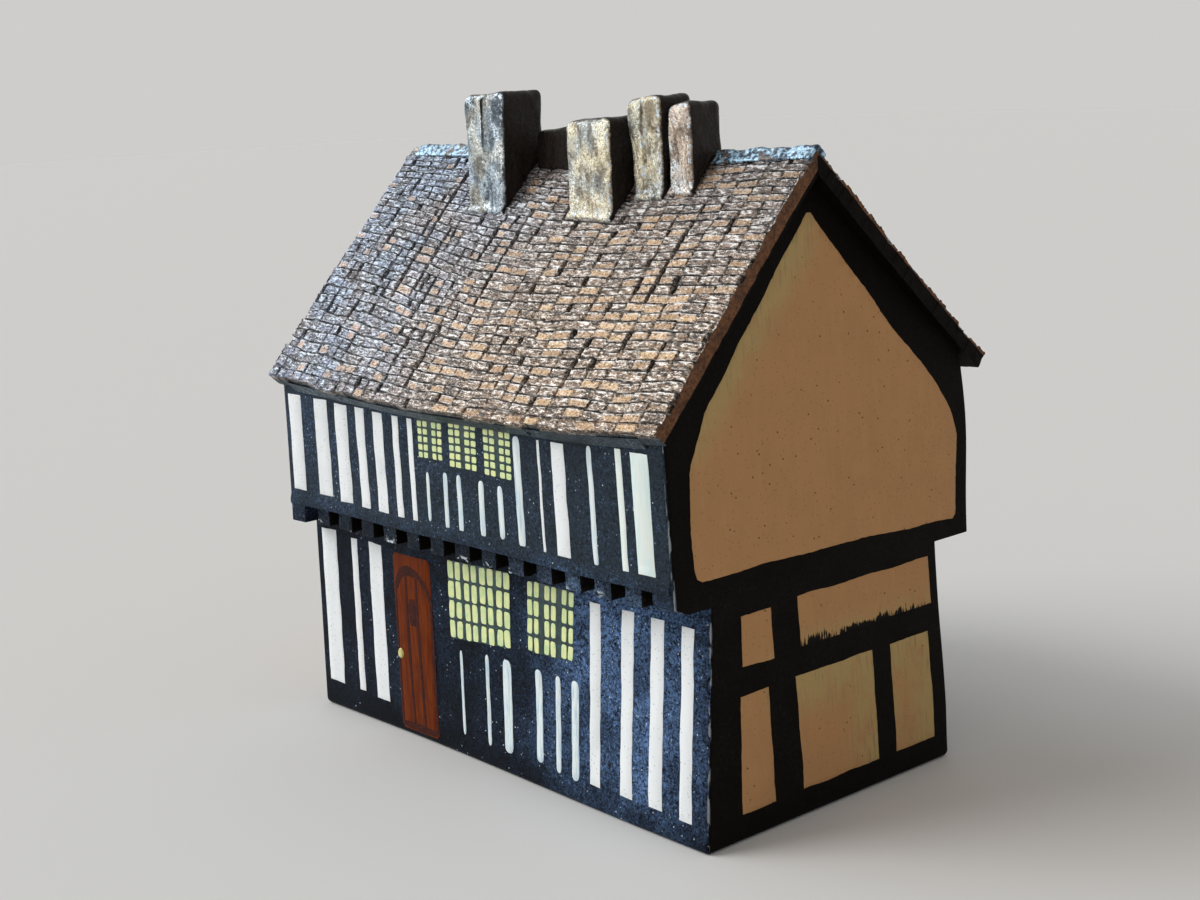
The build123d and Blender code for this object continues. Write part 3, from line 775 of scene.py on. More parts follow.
for storey in ("ground_wall", "upper_wall", "jetty_floor"):
    for side in ("front", "back"):
        slab(f"{side}_{storey}", (0, 2) if "wall" in storey else (0, 1), BLACK)
for side in ("right", "left"):
    slab(f"{side}_gable_wall", (1, 2), BLACK)
slab("base_slab", (0, 1), RAW)
for side in ("front", "back"):
    joists = lumpy(f"{side}_joist_ends", GLOSSY_BLACK, JOIST_LUMPS)
    # The joists' sides, in the gaps between them, take the painted-shade black
    joists.data.materials.append(SHADED_BLACK)
    for polygon in joists.data.polygons:
        polygon.material_index = 1 if abs(polygon.normal.x) > JOIST_SIDE else 0
for stack, tints in STACK_TINTS.items():
    lumpy(
        stack, STACK, STACK_LUMPS, stretch=(1, 1, 0.5), passes=8,
        tilt=STACK_TILT, groove=STACK_GROOVES.get(stack, 0.0), values=tints,
    )
for side in ("left", "right"):
    lumpy(f"{side}_ridge_strip", RIDGE_STRIP, RIDGE_LUMPS)


# Painted patches
def outlines(node, face):
    """The outlines of a coat's patches on a face, each a loop of flat places."""
    bm = node_bmesh(node)
    inner = [side for side in bm.faces if side.normal.dot(face.normal) < 0.9]
    bmesh.ops.delete(bm, geom=inner, context="FACES")
    loops = []
    for side in bm.faces:
        loops.append([face.flat(vertex.co) for vertex in side.verts])
    bm.free()
    return sorted(loops, key=lambda loop: sum(place.x for place in loop) / len(loop))


def corners_of(loop):
    """The lowest and highest corner of the box round an outline."""
    low = Vector((min(place.x for place in loop), min(place.y for place in loop)))
    high = Vector((max(place.x for place in loop), max(place.y for place in loop)))
    return low, high


def drawn(loop, wobble, wave=EDGE_WAVE, round_passes=0):
    """An outline as a brush leaves it: more points, rounded corners and an uneven edge."""
    for _ in range(round_passes):
        cut = []
        for here, there in zip(loop, loop[1:] + loop[:1]):
            reach = min(0.25, CORNER_CUT / max((there - here).length, MERGE))
            cut += [here.lerp(there, reach), there.lerp(here, reach)]
        loop = cut
    points = []
    for here, there in zip(loop, loop[1:] + loop[:1]):
        steps = max(1, round((there - here).length / EDGE_STEP))
        points += [here.lerp(there, step / steps) for step in range(steps)]
    seed = rng.uniform(0, 100)
    uneven = []
    for place in points:
        slow = noise.noise_vector(Vector((place.x / wave + seed, place.y / wave, seed))).to_2d()
        quick = noise.noise_vector(Vector((place.x / EDGE_RIPPLE, place.y / EDGE_RIPPLE, seed))).to_2d()
        uneven.append(place + slow * wobble + quick * wobble * 0.25)
    return uneven


def inset(loop, distance):
    """An outline moved inward by a small distance."""
    area = sum(a.x * b.y - b.x * a.y for a, b in zip(loop, loop[1:] + loop[:1]))
    turn = 1 if area > 0 else -1
    moved = []
    for before, here, after in zip(loop[-1:] + loop[:-1], loop, loop[1:] + loop[:1]):
        along = (after - before).normalized()
        moved.append(here + Vector((-along.y, along.x)) * distance * turn)
    return moved


def patch(bm, face, loop, material, height=COAT_HEIGHT, bevel=COAT_BEVEL):
    """A closed flat coat with soft edges on a face; its foot is just inside the clay."""
    rings = []
    shoulder = height * COAT_SHOULDER_SHARE
    for ring, lift in ((loop, -COAT_SINK), (loop, shoulder), (inset(loop, bevel), height)):
        rings.append([bm.verts.new(face.place(place.x, place.y, lift)) for place in ring])
    bm.faces.new(rings[2]).material_index = material
    bm.faces.new(rings[0][::-1]).material_index = material
    join_rings(bm, rings, material)


def coat_piece(name, bm, materials, nodes, cell=SLAB_CELL, values=None):
    """Finish the patches of one node: cut, bend with the wall and add."""
    cut_grid(bm, cell, (0, 1, 2))
    stored = {}
    for key, measure in (values or {}).items():
        stored[key] = [measure(vertex.co) for vertex in bm.verts]
    for vertex in bm.verts:
        vertex.co = warp(vertex.co)
    large = [face for face in bm.faces if len(face.verts) > 4]
    bmesh.ops.triangulate(bm, faces=large)
    mesh = mesh_from(bm, name)
    for key, numbers in stored.items():
        store(mesh, key, numbers)
    return add_piece(f"paint_{name}", mesh, materials, nodes)


# Which stripes are brush strokes rather than bare clay, counted along each wall, and which are mint
STROKES = {
    "front_upper": (7, 8, 9, 10, 11, 12, 15),
    "back_upper": (7, 8, 9, 10, 11, 12, 15),
    "front_ground": (3, 4, 5, 6, 7, 8),
    "back_ground": (5, 6, 7, 8, 9, 10),
}
MINT_STROKES = {"front_upper": (16, 17), "back_upper": (16, 17)}
CLAY_WOBBLE = 0.16 * MM
STROKE_WOBBLE = 0.13 * MM
MINT_WOBBLE = 0.12 * MM


def stripes(wall):
    """The pale stripes of a long wall: bare clay left between the timbers, or strokes of paint."""
    face = FACES[wall]
    node = f"{wall}_panels"
    bm = bmesh.new()
    for number, loop in enumerate(outlines(node, face)):
        if number in MINT_STROKES.get(wall, ()):
            patch(bm, face, drawn(loop, MINT_WOBBLE), 2)
        elif number in STROKES[wall]:
            patch(bm, face, drawn(loop, STROKE_WOBBLE, round_passes=2), 1)
        else:
            patch(bm, face, drawn(loop, CLAY_WOBBLE), 0)
    coat_piece(node, bm, [CREAM, STROKE, MINT], [node])


for wall in ("front_upper", "front_ground", "back_upper", "back_ground"):
    stripes(wall)


# Windows: the dabs, the ground under them, the gaps between pairs, panes and rows, and how the feet slant
DAB_POINTS = 16
DAB_SQUARENESS = 0.4
DAB_HEIGHT = 0.09 * MM
DAB_BEVEL = 0.06 * MM
DAB_SHIFT_SHARE = 0.035
GROUND_WOBBLE = 0.08 * MM
GROUND_HEIGHT = 0.03 * MM
UPPER_GAPS = (1.05 * MM, 0.28 * MM, 0.30 * MM)
WIDE_GAPS = (0.70 * MM, 0.36 * MM, 0.32 * MM)
NARROW_GAPS = (1.25 * MM, 0.34 * MM, 0.40 * MM)
WIDE_SLANT = (-0.5 * MM, 0.45 * MM)
NARROW_SLANT = (-0.7 * MM, -0.1 * MM)


def dab(bm, face, middle, width, height, material):
    """One dab of paint: a small pillow, a little off square."""
    half_width = width / 2 * rng.uniform(0.9, 1.04)
    half_height = height / 2 * rng.uniform(0.92, 1.03)
    lean = rng.uniform(-0.05, 0.05)
    shift = Vector((rng.uniform(-1, 1) * width, rng.uniform(-1, 1) * height)) * DAB_SHIFT_SHARE
    loop = []
    for step in range(DAB_POINTS):
        angle = 2 * math.pi * step / DAB_POINTS
        across = math.copysign(abs(math.cos(angle)) ** DAB_SQUARENESS, math.cos(angle)) * half_width
        rise = math.copysign(abs(math.sin(angle)) ** DAB_SQUARENESS, math.sin(angle)) * half_height
        loop.append(middle + shift + Vector((across + rise * lean, rise)) * rng.uniform(0.94, 1.03))
    patch(bm, face, loop, material, height=DAB_HEIGHT, bevel=DAB_BEVEL)


def window(node, wall, pairs, rows, gaps, slant=(0.0, 0.0)):
    """A window: a dark ground with dabs of yellow-green in pairs of columns; its foot may slant."""
    pair_gap, pane_gap, row_gap = gaps
    face = FACES[wall]
    low, high = corners_of(outlines(node, face)[0])
    bm = bmesh.new()
    ground = [low + Vector((0, slant[0])), Vector((high.x, low.y + slant[1])), high, Vector((low.x, high.y))]
    patch(bm, face, drawn(ground, GROUND_WOBBLE, round_passes=1), 0, height=GROUND_HEIGHT)
    pane_width = (high.x - low.x - (pairs - 1) * pair_gap - pairs * pane_gap) / (2 * pairs)
    for pair in range(pairs):
        for column in range(2):
            left = low.x + pair * (2 * pane_width + pane_gap + pair_gap) + column * (pane_width + pane_gap)
            share = (left + pane_width / 2 - low.x) / (high.x - low.x)
            bottom = low.y + slant[0] + (slant[1] - slant[0]) * share
            pane_height = (high.y - bottom - (rows - 1) * row_gap) / rows
            for row in range(rows):
                foot = bottom + row * (pane_height + row_gap)
                middle = Vector((left + pane_width / 2, foot + pane_height / 2))
                dab(bm, face, middle, pane_width, pane_height, 1)
    coat_piece(node, bm, [GLAZING, PANE], [node])


for side in ("front", "back"):
    for number in (1, 2, 3):
        window(f"{side}_upper_window_{number}", f"{side}_upper", 2, 6, UPPER_GAPS)
    window(f"{side}_ground_window_1", f"{side}_ground", 4, 4, WIDE_GAPS, WIDE_SLANT)
    window(f"{side}_ground_window_2", f"{side}_ground", 3, 4, NARROW_GAPS, NARROW_SLANT)


# The door: its arch in shares of the door, and its straight lines as ends in shares, a bend and a width
DOOR_WOBBLE = 0.10 * MM
LINE_HEIGHT = 0.03 * MM
LINE_WAVE = 1.1 * MM
LINE_SECTION_SHARES = ((-1, 0.4), (-0.5, 0.9), (0, 1), (0.5, 0.9), (1, 0.4))
ARCH_STEPS = 20
ARCH_WIDTH = 1.1 * MM
ARCH_INNER_DROP = 0.7 * MM
ARCH_INNER = slice(2, -8)
ARCH_MIDDLE_SHARE = 0.38
ARCH_LEFT_SHARE = 0.30
ARCH_RIGHT_SHARE = 0.60
ARCH_SPRING_SHARE = 0.80
ARCH_RISE_SHARE = 0.125
ARCH_DROP_SHARE = 0.06
DOOR_LINES = (
    ((0.04, 0.02), (0.05, 0.84), 0.004, 0.55 * MM),
    ((0.95, 0.02), (0.97, 0.78), -0.004, 0.85 * MM),
    ((0.35, 0.03), (0.33, 0.88), 0.006, 0.85 * MM),
    ((0.64, 0.03), (0.60, 0.88), 0.006, 0.85 * MM),
    ((0.48, 0.61), (0.47, 0.76), 0.0, 2.2 * MM),
    ((0.03, 0.025), (0.97, 0.025), 0.0, 1.3 * MM),
)


def stroke(bm, face, path, width, material):
    """A thin raised brush line along a path on a coat, tapering at both ends."""
    section = [(side, COAT_HEIGHT + lift * LINE_HEIGHT) for side, lift in LINE_SECTION_SHARES]
    section = [(-1, COAT_HEIGHT - COAT_SINK), *section, (1, COAT_HEIGHT - COAT_SINK)]
    rows = []
    for number, here in enumerate(path):
        before = path[max(number - 1, 0)]
        after = path[min(number + 1, len(path) - 1)]
        along = (after - before).normalized()
        across = Vector((-along.y, along.x))
        share = number / (len(path) - 1)
        half = width / 2 * (0.35 + 0.65 * math.sin(math.pi * min(max(share, 0.04), 0.96)) ** 0.3)
        half *= 1 + 0.18 * noise.noise(Vector((here.x, here.y, 0)) / LINE_WAVE)
        places = [(here + across * half * side, lift) for side, lift in section]
        rows.append([bm.verts.new(face.place(place.x, place.y, lift)) for place, lift in places])
    join_rings(bm, rows, material)
    for row in (rows[0], rows[-1]):
        bm.faces.new(row).material_index = material


def line_between(start, end, bend, steps=24):
    """A hand-drawn line between two places, with a slight bend."""
    aside = Vector((-(end - start).y, (end - start).x))
    points = []
    for step in range(steps + 1):
        share = step / steps
        points.append(start.lerp(end, share) + aside * bend * math.sin(math.pi * share))
    return points


def door():
    """The painted door: orange-brown planks under an arched band, with maroon plank lines and borders."""
    face = FACES["front_ground"]
    loop = outlines("front_door", face)[0]
    low, high = corners_of(loop)
    size = high - low

    def at(across, up):
        return Vector((low.x + across * size.x, low.y + up * size.y))

    bm = bmesh.new()
    patch(bm, face, drawn(loop, DOOR_WOBBLE, round_passes=1), 0)
    arch = []
    for step in range(ARCH_STEPS + 1):
        turn = math.pi * (1 - step / ARCH_STEPS)
        reach = ARCH_LEFT_SHARE if math.cos(turn) < 0 else ARCH_RIGHT_SHARE
        up = ARCH_SPRING_SHARE + ARCH_RISE_SHARE * math.sin(turn)
        up -= ARCH_DROP_SHARE * smooth_step(0.5, 1.0, step / ARCH_STEPS)
        arch.append(at(ARCH_MIDDLE_SHARE + reach * math.cos(turn), up))
    stroke(bm, face, arch, ARCH_WIDTH, 1)
    stroke(bm, face, [place - Vector((0, ARCH_INNER_DROP)) for place in arch[ARCH_INNER]], ARCH_WIDTH, 1)
    for start, end, bend, width in DOOR_LINES:
        stroke(bm, face, line_between(at(*start), at(*end), bend), width, 1)
    coat_piece("front_door", bm, [DOOR, DOOR_LINE], ["front_door"])


KNOB_POINTS = 20
KNOB_STRETCH = 1.25
KNOB_HEIGHT = 0.4 * MM
KNOB_BEVEL = 0.2 * MM
KNOB_CROWN = 0.12 * MM
KNOB_CELL = 20 * MM


def knob():
    """A dot of thick paint at the door's edge."""
    face = FACES["front_ground"]
    low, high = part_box("front_door_knob")
    middle = face.flat((Vector(low) + Vector(high)) / 2)
    radius = (high[0] - low[0]) / 2
    bm = bmesh.new()
    loop = []
    for step in range(KNOB_POINTS):
        angle = 2 * math.pi * step / KNOB_POINTS
        loop.append(middle + Vector((math.cos(angle) * radius, math.sin(angle) * radius * KNOB_STRETCH)))
    patch(bm, face, loop, 0, height=KNOB_HEIGHT, bevel=KNOB_BEVEL)
    crown = [side for side in bm.faces if len(side.verts) == KNOB_POINTS][:1]
    bmesh.ops.poke(bm, faces=crown, offset=KNOB_CROWN)
    coat_piece("front_door_knob", bm, [KNOB], ["front_door_knob"], cell=KNOB_CELL)


door()
knob()


# Gable panels
WASH_WIDTH = 7 * MM
DRY_HEIGHT = 1.8 * MM
EDGE_WASH = 9 * MM
SMALL_PANEL_TOP = 22 * MM
SMALL_PANEL_WIDTH = 8 * MM
SMALL_PANEL_CELL = 1 * MM
SMALL_PANEL_EDGE = {"wobble": 0.25 * MM, "wave": 6 * MM}
LARGE_PANEL_EDGE = {"wobble": 0.4 * MM, "wave": 9 * MM}
SHOULDER_SHARE = 0.44
WASH_END_SHARE = 0.9


def near_line(face, start, end, width):
    """A measure of how near a point lies to a line on a face: 1 on it, 0 at a width from it."""
    direction = (end - start).normalized()

    def measure(point):
        place = face.flat(point)
        share = min(max((place - start).dot(direction), 0.0), (end - start).length)
        away = (place - start - direction * share).length
        return max(0.0, 1 - away / width)

    return measure


def strongest(measures):
    """The largest of several measures at a point."""
    return lambda point: max((measure(point) for measure in measures), default=0.0)


def gable_panels(side):
    """The large upper panel and the small ones of a gable, with olive washes and dry-brush marks."""
    face = FACES[side]
    node = f"{side}_gable_panel"
    loop = outlines(node, face)[0]
    low, high = corners_of(loop)
    apex = max(loop, key=lambda place: place.y)
    front_x = low.x if side == "right" else high.x
    shoulder = Vector((front_x, low.y + SHOULDER_SHARE * (high.y - low.y)))
    bm = bmesh.new()
    patch(bm, face, drawn(loop, **LARGE_PANEL_EDGE, round_passes=1), 0)
    washes = strongest([near_line(face, shoulder, shoulder.lerp(apex, WASH_END_SHARE), WASH_WIDTH)])
    coat_piece(node, bm, [SHADED_BUFF], [node], values={"wash": washes, "dry": strongest([])})

    node = f"{side}_ground_panels"
    bm = bmesh.new()
    washes, dry = [], []
    for loop in outlines(node, face):
        patch(bm, face, drawn(loop, **SMALL_PANEL_EDGE), 0)
        low, high = corners_of(loop)
        if high.y < SMALL_PANEL_TOP and high.x - low.x > SMALL_PANEL_WIDTH:
            washes.append(near_line(face, Vector((low.x, high.y)), high, EDGE_WASH))
            washes.append(near_line(face, Vector((high.x, low.y)), high, EDGE_WASH))
        if low.y > SMALL_PANEL_TOP and high.x - low.x > 2 * SMALL_PANEL_WIDTH:
            dry.append(near_line(face, low, Vector((high.x, low.y)), DRY_HEIGHT))
    values = {"wash": strongest(washes), "dry": strongest(dry)}
    coat_piece(node, bm, [SHADED_BUFF], [node], cell=SMALL_PANEL_CELL, values=values)


gable_panels("right")
gable_panels("left")


# Roof slopes: how the top of a slab and its eave are told from its other corners
ON_FACE = 0.05 * MM
EAVE_REACH = 30 * MM

# Tiles: for each row of a course, its share up the course and its shares of rise, of painted highlight on the
# lip, of painted shade in the crease and of field
COURSES = 32
COURSE_SHARES = (
    (0.0, 0.0, 0.0, 0.9, 0.0),
    (0.10, 0.8, 0.3, 0.0, 0.3),
    (0.26, 0.7, 0.0, 0.0, 1.0),
    (0.60, 0.68, 0.0, 0.0, 1.0),
    (0.74, 0.9, 0.2, 0.0, 0.4),
    (0.86, 1.0, 1.0, 0.0, 0.0),
    (0.94, 0.5, 0.2, 0.35, 0.0),
)
TILE_WIDTH = 2.6 * MM
TILE_WIDENING = 0.6
TILE_COLUMN = 0.26 * MM
TILE_RISE = 0.30 * MM
TILE_SINK = 0.12 * MM
TILE_LIFTS = (-0.07 * MM, 0.10 * MM)
TILE_TILTS = (-0.05, 0.05)
TILE_JOGS = (-0.15 * MM, 0.18 * MM)
PLAIN_SIZE = 13 * MM
PLAIN_VERGE = (2 * MM, 12 * MM)
PIT_DEPTH = 0.16 * MM
PIT_LENGTH = 0.9 * MM
PIT_HEIGHT = 0.5 * MM
FIELD_CALM = 0.11 * MM
COOL_START = 12 * MM
FAN_LEFT = 0.35
FAN_RIGHT = 0.15
RIPPLE = 0.25
RIPPLE_SIZE = 8 * MM
JOG = 0.24
RAG = 0.35
LEAST_ROW = 0.03

# Joints between tiles: how they stray, how wide they are, and the wider holes between some of them
GROOVE_DEPTH = 0.55 * MM
DRIFT = 1.6 * MM
DRIFT_SIZE = 16 * MM
JOINT_SHIFT = 0.14 * MM
JOINT_HALF_WIDTHS = (0.13 * MM, 0.20 * MM)
JOINT_DEPTHS = (0.25, 0.9)
THIN_JOINT = 0.3
HOLE_SIZE = 3 * MM
HOLE_HALF_WIDTHS = (0.36 * MM, 0.52 * MM)
HOLE_DEPTH = 1.6
HOLE_START = 0.45

# Deep grooves that run up the slope over many courses: their place and the shares where they start and end
SEAMS = ((-29 * MM, 0.33, 0.93), (-24 * MM, 0.33, 0.6), (-6 * MM, 0.35, 0.72), (31 * MM, 0.4, 0.7))
SEAM_SHIFT = 0.08 * MM
SEAM_HALF_WIDTH = 0.34 * MM

# The cut edges of the slabs: their rings, how rough they are and how far down their stain and tiles reach
EDGE_DEPTH_SHARES = (0.14, 0.36, 0.78, 1.0)
EDGE_ROUGH = 0.16 * MM
EDGE_ROUGH_LENGTH = 2 * MM
EDGE_ROUGH_HEIGHT = 1.6 * MM
STAINED_SHARES = {"front": 0.8, "back": 0.2}
TILED_EDGE_SHARE = 0.4
# The tile look on the cut edges, with half of the painted hollow shade
EDGE_LOOK = {"tone": 0.3, "plain": 0.3, "hollow_shade": 0.5, "cool_reflection": 0.3, "lip": 0.0}


def eave_line(node, face):
    """How far below the ridge a slope's eave lies, as places along the eave."""
    bm = node_bmesh(node)
    ridge = face.flat(RIDGE).y
    places = []
    for vertex in bm.verts:
        on_top = abs((vertex.co - face.origin).dot(face.normal)) < ON_FACE
        place = face.flat(vertex.co)
        if on_top and place.y < ridge - EAVE_REACH:
            places.append(place)
    bm.free()
    return sorted(places, key=lambda place: place.x)


def between(places, x):
    """The second number of a row of places at a first number."""
    for here, there in zip(places, places[1:]):
        if here.x <= x <= there.x:
            share = (x - here.x) / max(there.x - here.x, MERGE)
            return here.y + (there.y - here.y) * share
    return places[0].y if x < places[0].x else places[-1].y


class Course:
    """One course of tiles: where its joints are and how each tile sits."""

    def __init__(self, number, columns, ends):
        self.joints = []
        self.tiles = []
        self.jogs = [rng.uniform(*TILE_JOGS) for _ in range(2)]
        height = number / COURSES
        for x in columns:
            drift = noise.noise(Vector((x / DRIFT_SIZE, number * 0.07, 3.0))) * DRIFT
            joint = x + drift + rng.uniform(-JOINT_SHIFT, JOINT_SHIFT)
            half = rng.uniform(*JOINT_HALF_WIDTHS)
            depth = rng.uniform(*JOINT_DEPTHS)
            hollow_run = noise.noise(Vector((x / HOLE_SIZE, number * 0.22, 31.0)))
            if hollow_run > 0.12 and rng.random() < 0.5:
                half = rng.uniform(*HOLE_HALF_WIDTHS)
                depth = HOLE_DEPTH
            for seam_x, low, high in SEAMS:
                if abs(joint - seam_x) < 0.5 * TILE_WIDTH and low < height < high:
                    joint = seam_x + rng.uniform(-SEAM_SHIFT, SEAM_SHIFT)
                    half = SEAM_HALF_WIDTH
                    depth = HOLE_DEPTH
            self.joints.append((joint, half, depth))
        self.joints.sort()
        for joint, _, _ in self.joints:
            across = smooth_step(ends[0], ends[1], joint)
            patchy = 0.6 + 0.9 * noise.noise(Vector((joint / PLAIN_SIZE, number * 0.12, 21.0)))
            verge = smooth_step(ends[1] - PLAIN_VERGE[0], ends[1] - PLAIN_VERGE[1], joint)
            chance = 0.06 + 0.9 * across * (1 - 0.6 * height) * patchy * (0.35 + 0.65 * verge)
            plain = rng.random() < chance
            self.tiles.append((rng.uniform(*TILE_LIFTS), rng.uniform(*TILE_TILTS), rng.random(), plain))

    def look(self, x, share):
        """The tile at a place: its number, height, tone, plain field and how deep the groove is there."""
        index = 0
        while index + 1 < len(self.joints) and self.joints[index + 1][0] <= x:
            index += 1
        lift, tilt, tone, plain = self.tiles[index]
        groove = 0.0
        field = float(plain)
        for joint, half, depth in self.joints[index: index + 2]:
            off = abs(x - joint) / half
            field *= smooth_step(1.2, 2.4, off)
            if off < 1:
                groove = max(groove, depth * (1 - off ** 4) * smooth_step(-0.3, HOLE_START, share))
        middle = self.joints[index][0] + TILE_WIDTH / 2
        return index, lift + tilt * (x - middle), tone, field, groove


def tile_columns(left, right):
    """Where the joints between tiles stand along the slope, wider apart towards the right."""
    columns = [left - TILE_WIDTH]
    while columns[-1] < right + TILE_WIDTH:
        width = TILE_WIDTH * (1 + TILE_WIDENING * smooth_step(left, right, columns[-1]))
        columns.append(columns[-1] + width * rng.uniform(0.88, 1.12))
    return columns


def lustre_at(side, x, up, ends):
    """How much painted cool reflection the lustre takes at a place on a slope, and how much darker it is made
    towards the top.
    """
    left, right = ends
    cool_reflection = smooth_step(COOL_START, left, x) * 0.9 + smooth_step(0.3, 1.0, up) * 0.25
    dim = 0.10 * smooth_step(0.3, 0.6, up)
    dim += 0.22 * smooth_step(0.6, 0.9, up) * smooth_step(0.0, right, x)
    return min(1.0, 0.05 + cool_reflection) if side == "front" else 0.6, dim


def tile_grid(bm, side, eave):
    """Rows of vertices over all the courses of a slope, and the numbers that its lustre reads."""
    face = SLOPES[side]
    ridge = face.flat(RIDGE).y
    left, right = eave[0].x, eave[-1].x
    columns = round((right - left) / TILE_COLUMN)
    places = [left + (right - left) * column / columns for column in range(columns + 1)]
    lengths = [ridge - between(eave, x) for x in places]
    fans = []
    for x in places:
        fans.append(FAN_LEFT * smooth_step(0.0, left, x) + FAN_RIGHT * smooth_step(0.0, right, x))
    joints = tile_columns(left, right)
    courses = [Course(number, joints, (left, right)) for number in range(COURSES)]
    rows = [(number, *shares) for number in range(COURSES) for shares in COURSE_SHARES]
    last_row = COURSES - 1 + COURSE_SHARES[-1][0]
    grid = []
    reached = [-1.0] * len(places)
    stored = {key: [] for key in EDGE_LOOK}
    for number, share, rise, lip, crease, core in rows:
        course = courses[number]
        inside = number not in (0, COURSES - 1)
        line = []
        for column, (x, length, fan) in enumerate(zip(places, lengths, fans)):
            tile, tile_lift, tone, field, groove = course.look(x, share)
            ripple = noise.noise(Vector((x / RIPPLE_SIZE, number * 0.3, 9.0))) * RIPPLE
            ripple += noise.noise(Vector((tile * 7.3, (number + share) * 0.3, 13.0))) * JOG
            rag = 0.0 if number or share else (tone - 0.4) * RAG
            row = max(number + share + ripple * inside + rag, reached[column] + LEAST_ROW)
            reached[column] = row
            up = row / last_row
            up += fan * up * (1 - up)
            height = TILE_RISE * rise - TILE_SINK + tile_lift
            height -= GROOVE_DEPTH * groove * (0.5 + 0.5 * rise)
            pit = noise.noise(Vector((x / PIT_LENGTH, up * length / PIT_HEIGHT, 5.0)))
            height += pit * (PIT_DEPTH - FIELD_CALM * field)
            edge = {0: -course.jogs[0], columns: course.jogs[1]}.get(column, 0.0)
            line.append(bm.verts.new(face.place(x + edge, ridge - length * (1 - up), height)))
            cool_reflection, dim = lustre_at(side, x, up, (left, right))
            stored["tone"].append(tone)
            stored["plain"].append(field * core)
            # Darker towards the top, with painted shade in deep joints and in the crease under each lip, and
            # a painted highlight along each raised lip
            stored["hollow_shade"].append(min(1.0, dim + max(0.0, groove - THIN_JOINT) + crease * inside))
            stored["lip"].append(lip * (1 - min(1.0, groove)) * min(1, number))
            stored["cool_reflection"].append(cool_reflection)
        grid.append(line)
    return grid, stored


def roof(side):
    """A roof slope: courses of impressed tiles on a slab with a cut edge."""
    node = f"{side}_roof_slope"
    eave = eave_line(node, SLOPES[side])
    bm = bmesh.new()
    grid, stored = tile_grid(bm, side, eave)
    top_count = len(bm.verts)
    columns = len(grid[0]) - 1
    for low, high in zip(grid, grid[1:]):
        for i in range(columns):
            bm.faces.new((low[i], low[i + 1], high[i + 1], high[i]))
    rim = grid[0][:-1] + [line[-1] for line in grid[:-1]]
    rim += grid[-1][:0:-1] + [line[0] for line in grid[:0:-1]]
    at_verge = ([False] * columns + [True] * (len(grid) - 1)) * 2
    slab_edge(bm, side, rim, at_verge, (eave[0].x, eave[-1].x))
    extra = len(bm.verts) - top_count
    for vertex in bm.verts:
        vertex.co = warp(vertex.co)
    mesh = mesh_from(bm, node)
    for key, numbers in stored.items():
        store(mesh, key, numbers + [EDGE_LOOK[key]] * extra)
    store(mesh, "wear_and_glint", [0.0] * len(mesh.vertices))
    add_piece(f"tiled_{node}", mesh, [TILE, TILE_EDGE, SHADED_BLACK, GREY_BLACK], [node])


def slab_edge(bm, side, rim, at_verge, ends):
    """The sides and underside of a roof slab below its tiles; the verges start in a brown stain and then,
    like the underside, turn to the black of painted shade.
    """
    face = SLOPES[side]
    ridge = face.flat(RIDGE).y
    thickness = slab_thickness(f"{side}_roof_slope", face)
    flat_rim = [face.flat(vertex.co) for vertex in rim]
    mitre = math.tan(math.acos(face.normal.z))
    previous = rim
    for depth in EDGE_DEPTH_SHARES:
        ring = []
        for place in flat_rim:
            drop = thickness * depth
            spot = Vector((place.x / EDGE_ROUGH_LENGTH, place.y / EDGE_ROUGH_HEIGHT, depth * 7))
            rough = noise.noise(spot) * EDGE_ROUGH
            x = min(max(place.x, ends[0] - rough), ends[1] + rough)
            y = min(place.y, ridge - mitre * drop)
            ring.append(bm.verts.new(face.place(x, y, -drop)))
        for i in range(len(rim)):
            j = (i + 1) % len(rim)
            panel = bm.faces.new((previous[j], previous[i], ring[i], ring[j]))
            if at_verge[i]:
                panel.material_index = 1 if depth <= STAINED_SHARES[side] else 2
            else:
                panel.material_index = 0 if depth < TILED_EDGE_SHARE else 3
        previous = ring
    # The underside takes the painted-shade black
    bm.faces.new(previous[::-1]).material_index = 2


def slab_thickness(node, face):
    """How thick a roof slab is, from its two flat sides."""
    under, _ = plane_of(node, -face.normal)
    return (face.origin - under).dot(face.normal)


roof("front")
roof("back")


# Strips that run along the long walls
def strip(name, section, ends, material, nodes, steps=150):
    """A closed strip along X whose cross-section is worked out at each place."""
    bm = bmesh.new()
    rows = []
    for step in range(steps + 1):
        x = ends[0] + (ends[1] - ends[0]) * step / steps
        rows.append([bm.verts.new((x, y, z)) for y, z in section(x)])
    join_rings(bm, rows)
    bm.faces.new(rows[0])
    bm.faces.new(rows[-1][::-1])
    for vertex in bm.verts:
        vertex.co = warp(vertex.co)
    mesh = mesh_from(bm, name)
    store(mesh, "wear_and_glint", [0.0] * len(mesh.vertices))
    add_piece(f"clay_{name}", mesh, [material], nodes)


# A jetty's lip and an eave's cove: the lip's section in shares of its depth and rise, and how it swells
LIP_SECTION_SHARES = (
    (-0.7, 0.05), (0.1, 0.0), (0.45, 0.04), (0.62, 0.3), (0.5, 0.65), (0.22, 1.05), (-0.02, 1.5), (-0.7, 1.5),
)
LIP_SWELL = 0.35
LIP_SWELL_SIZE = 5 * MM
COVE_DROP = 0.7 * MM
COVE_LIFT = 0.06 * MM
COVE_SINK = 1.0 * MM
COVE_TOP_SHARE = 0.45
COVE_STEPS = 6


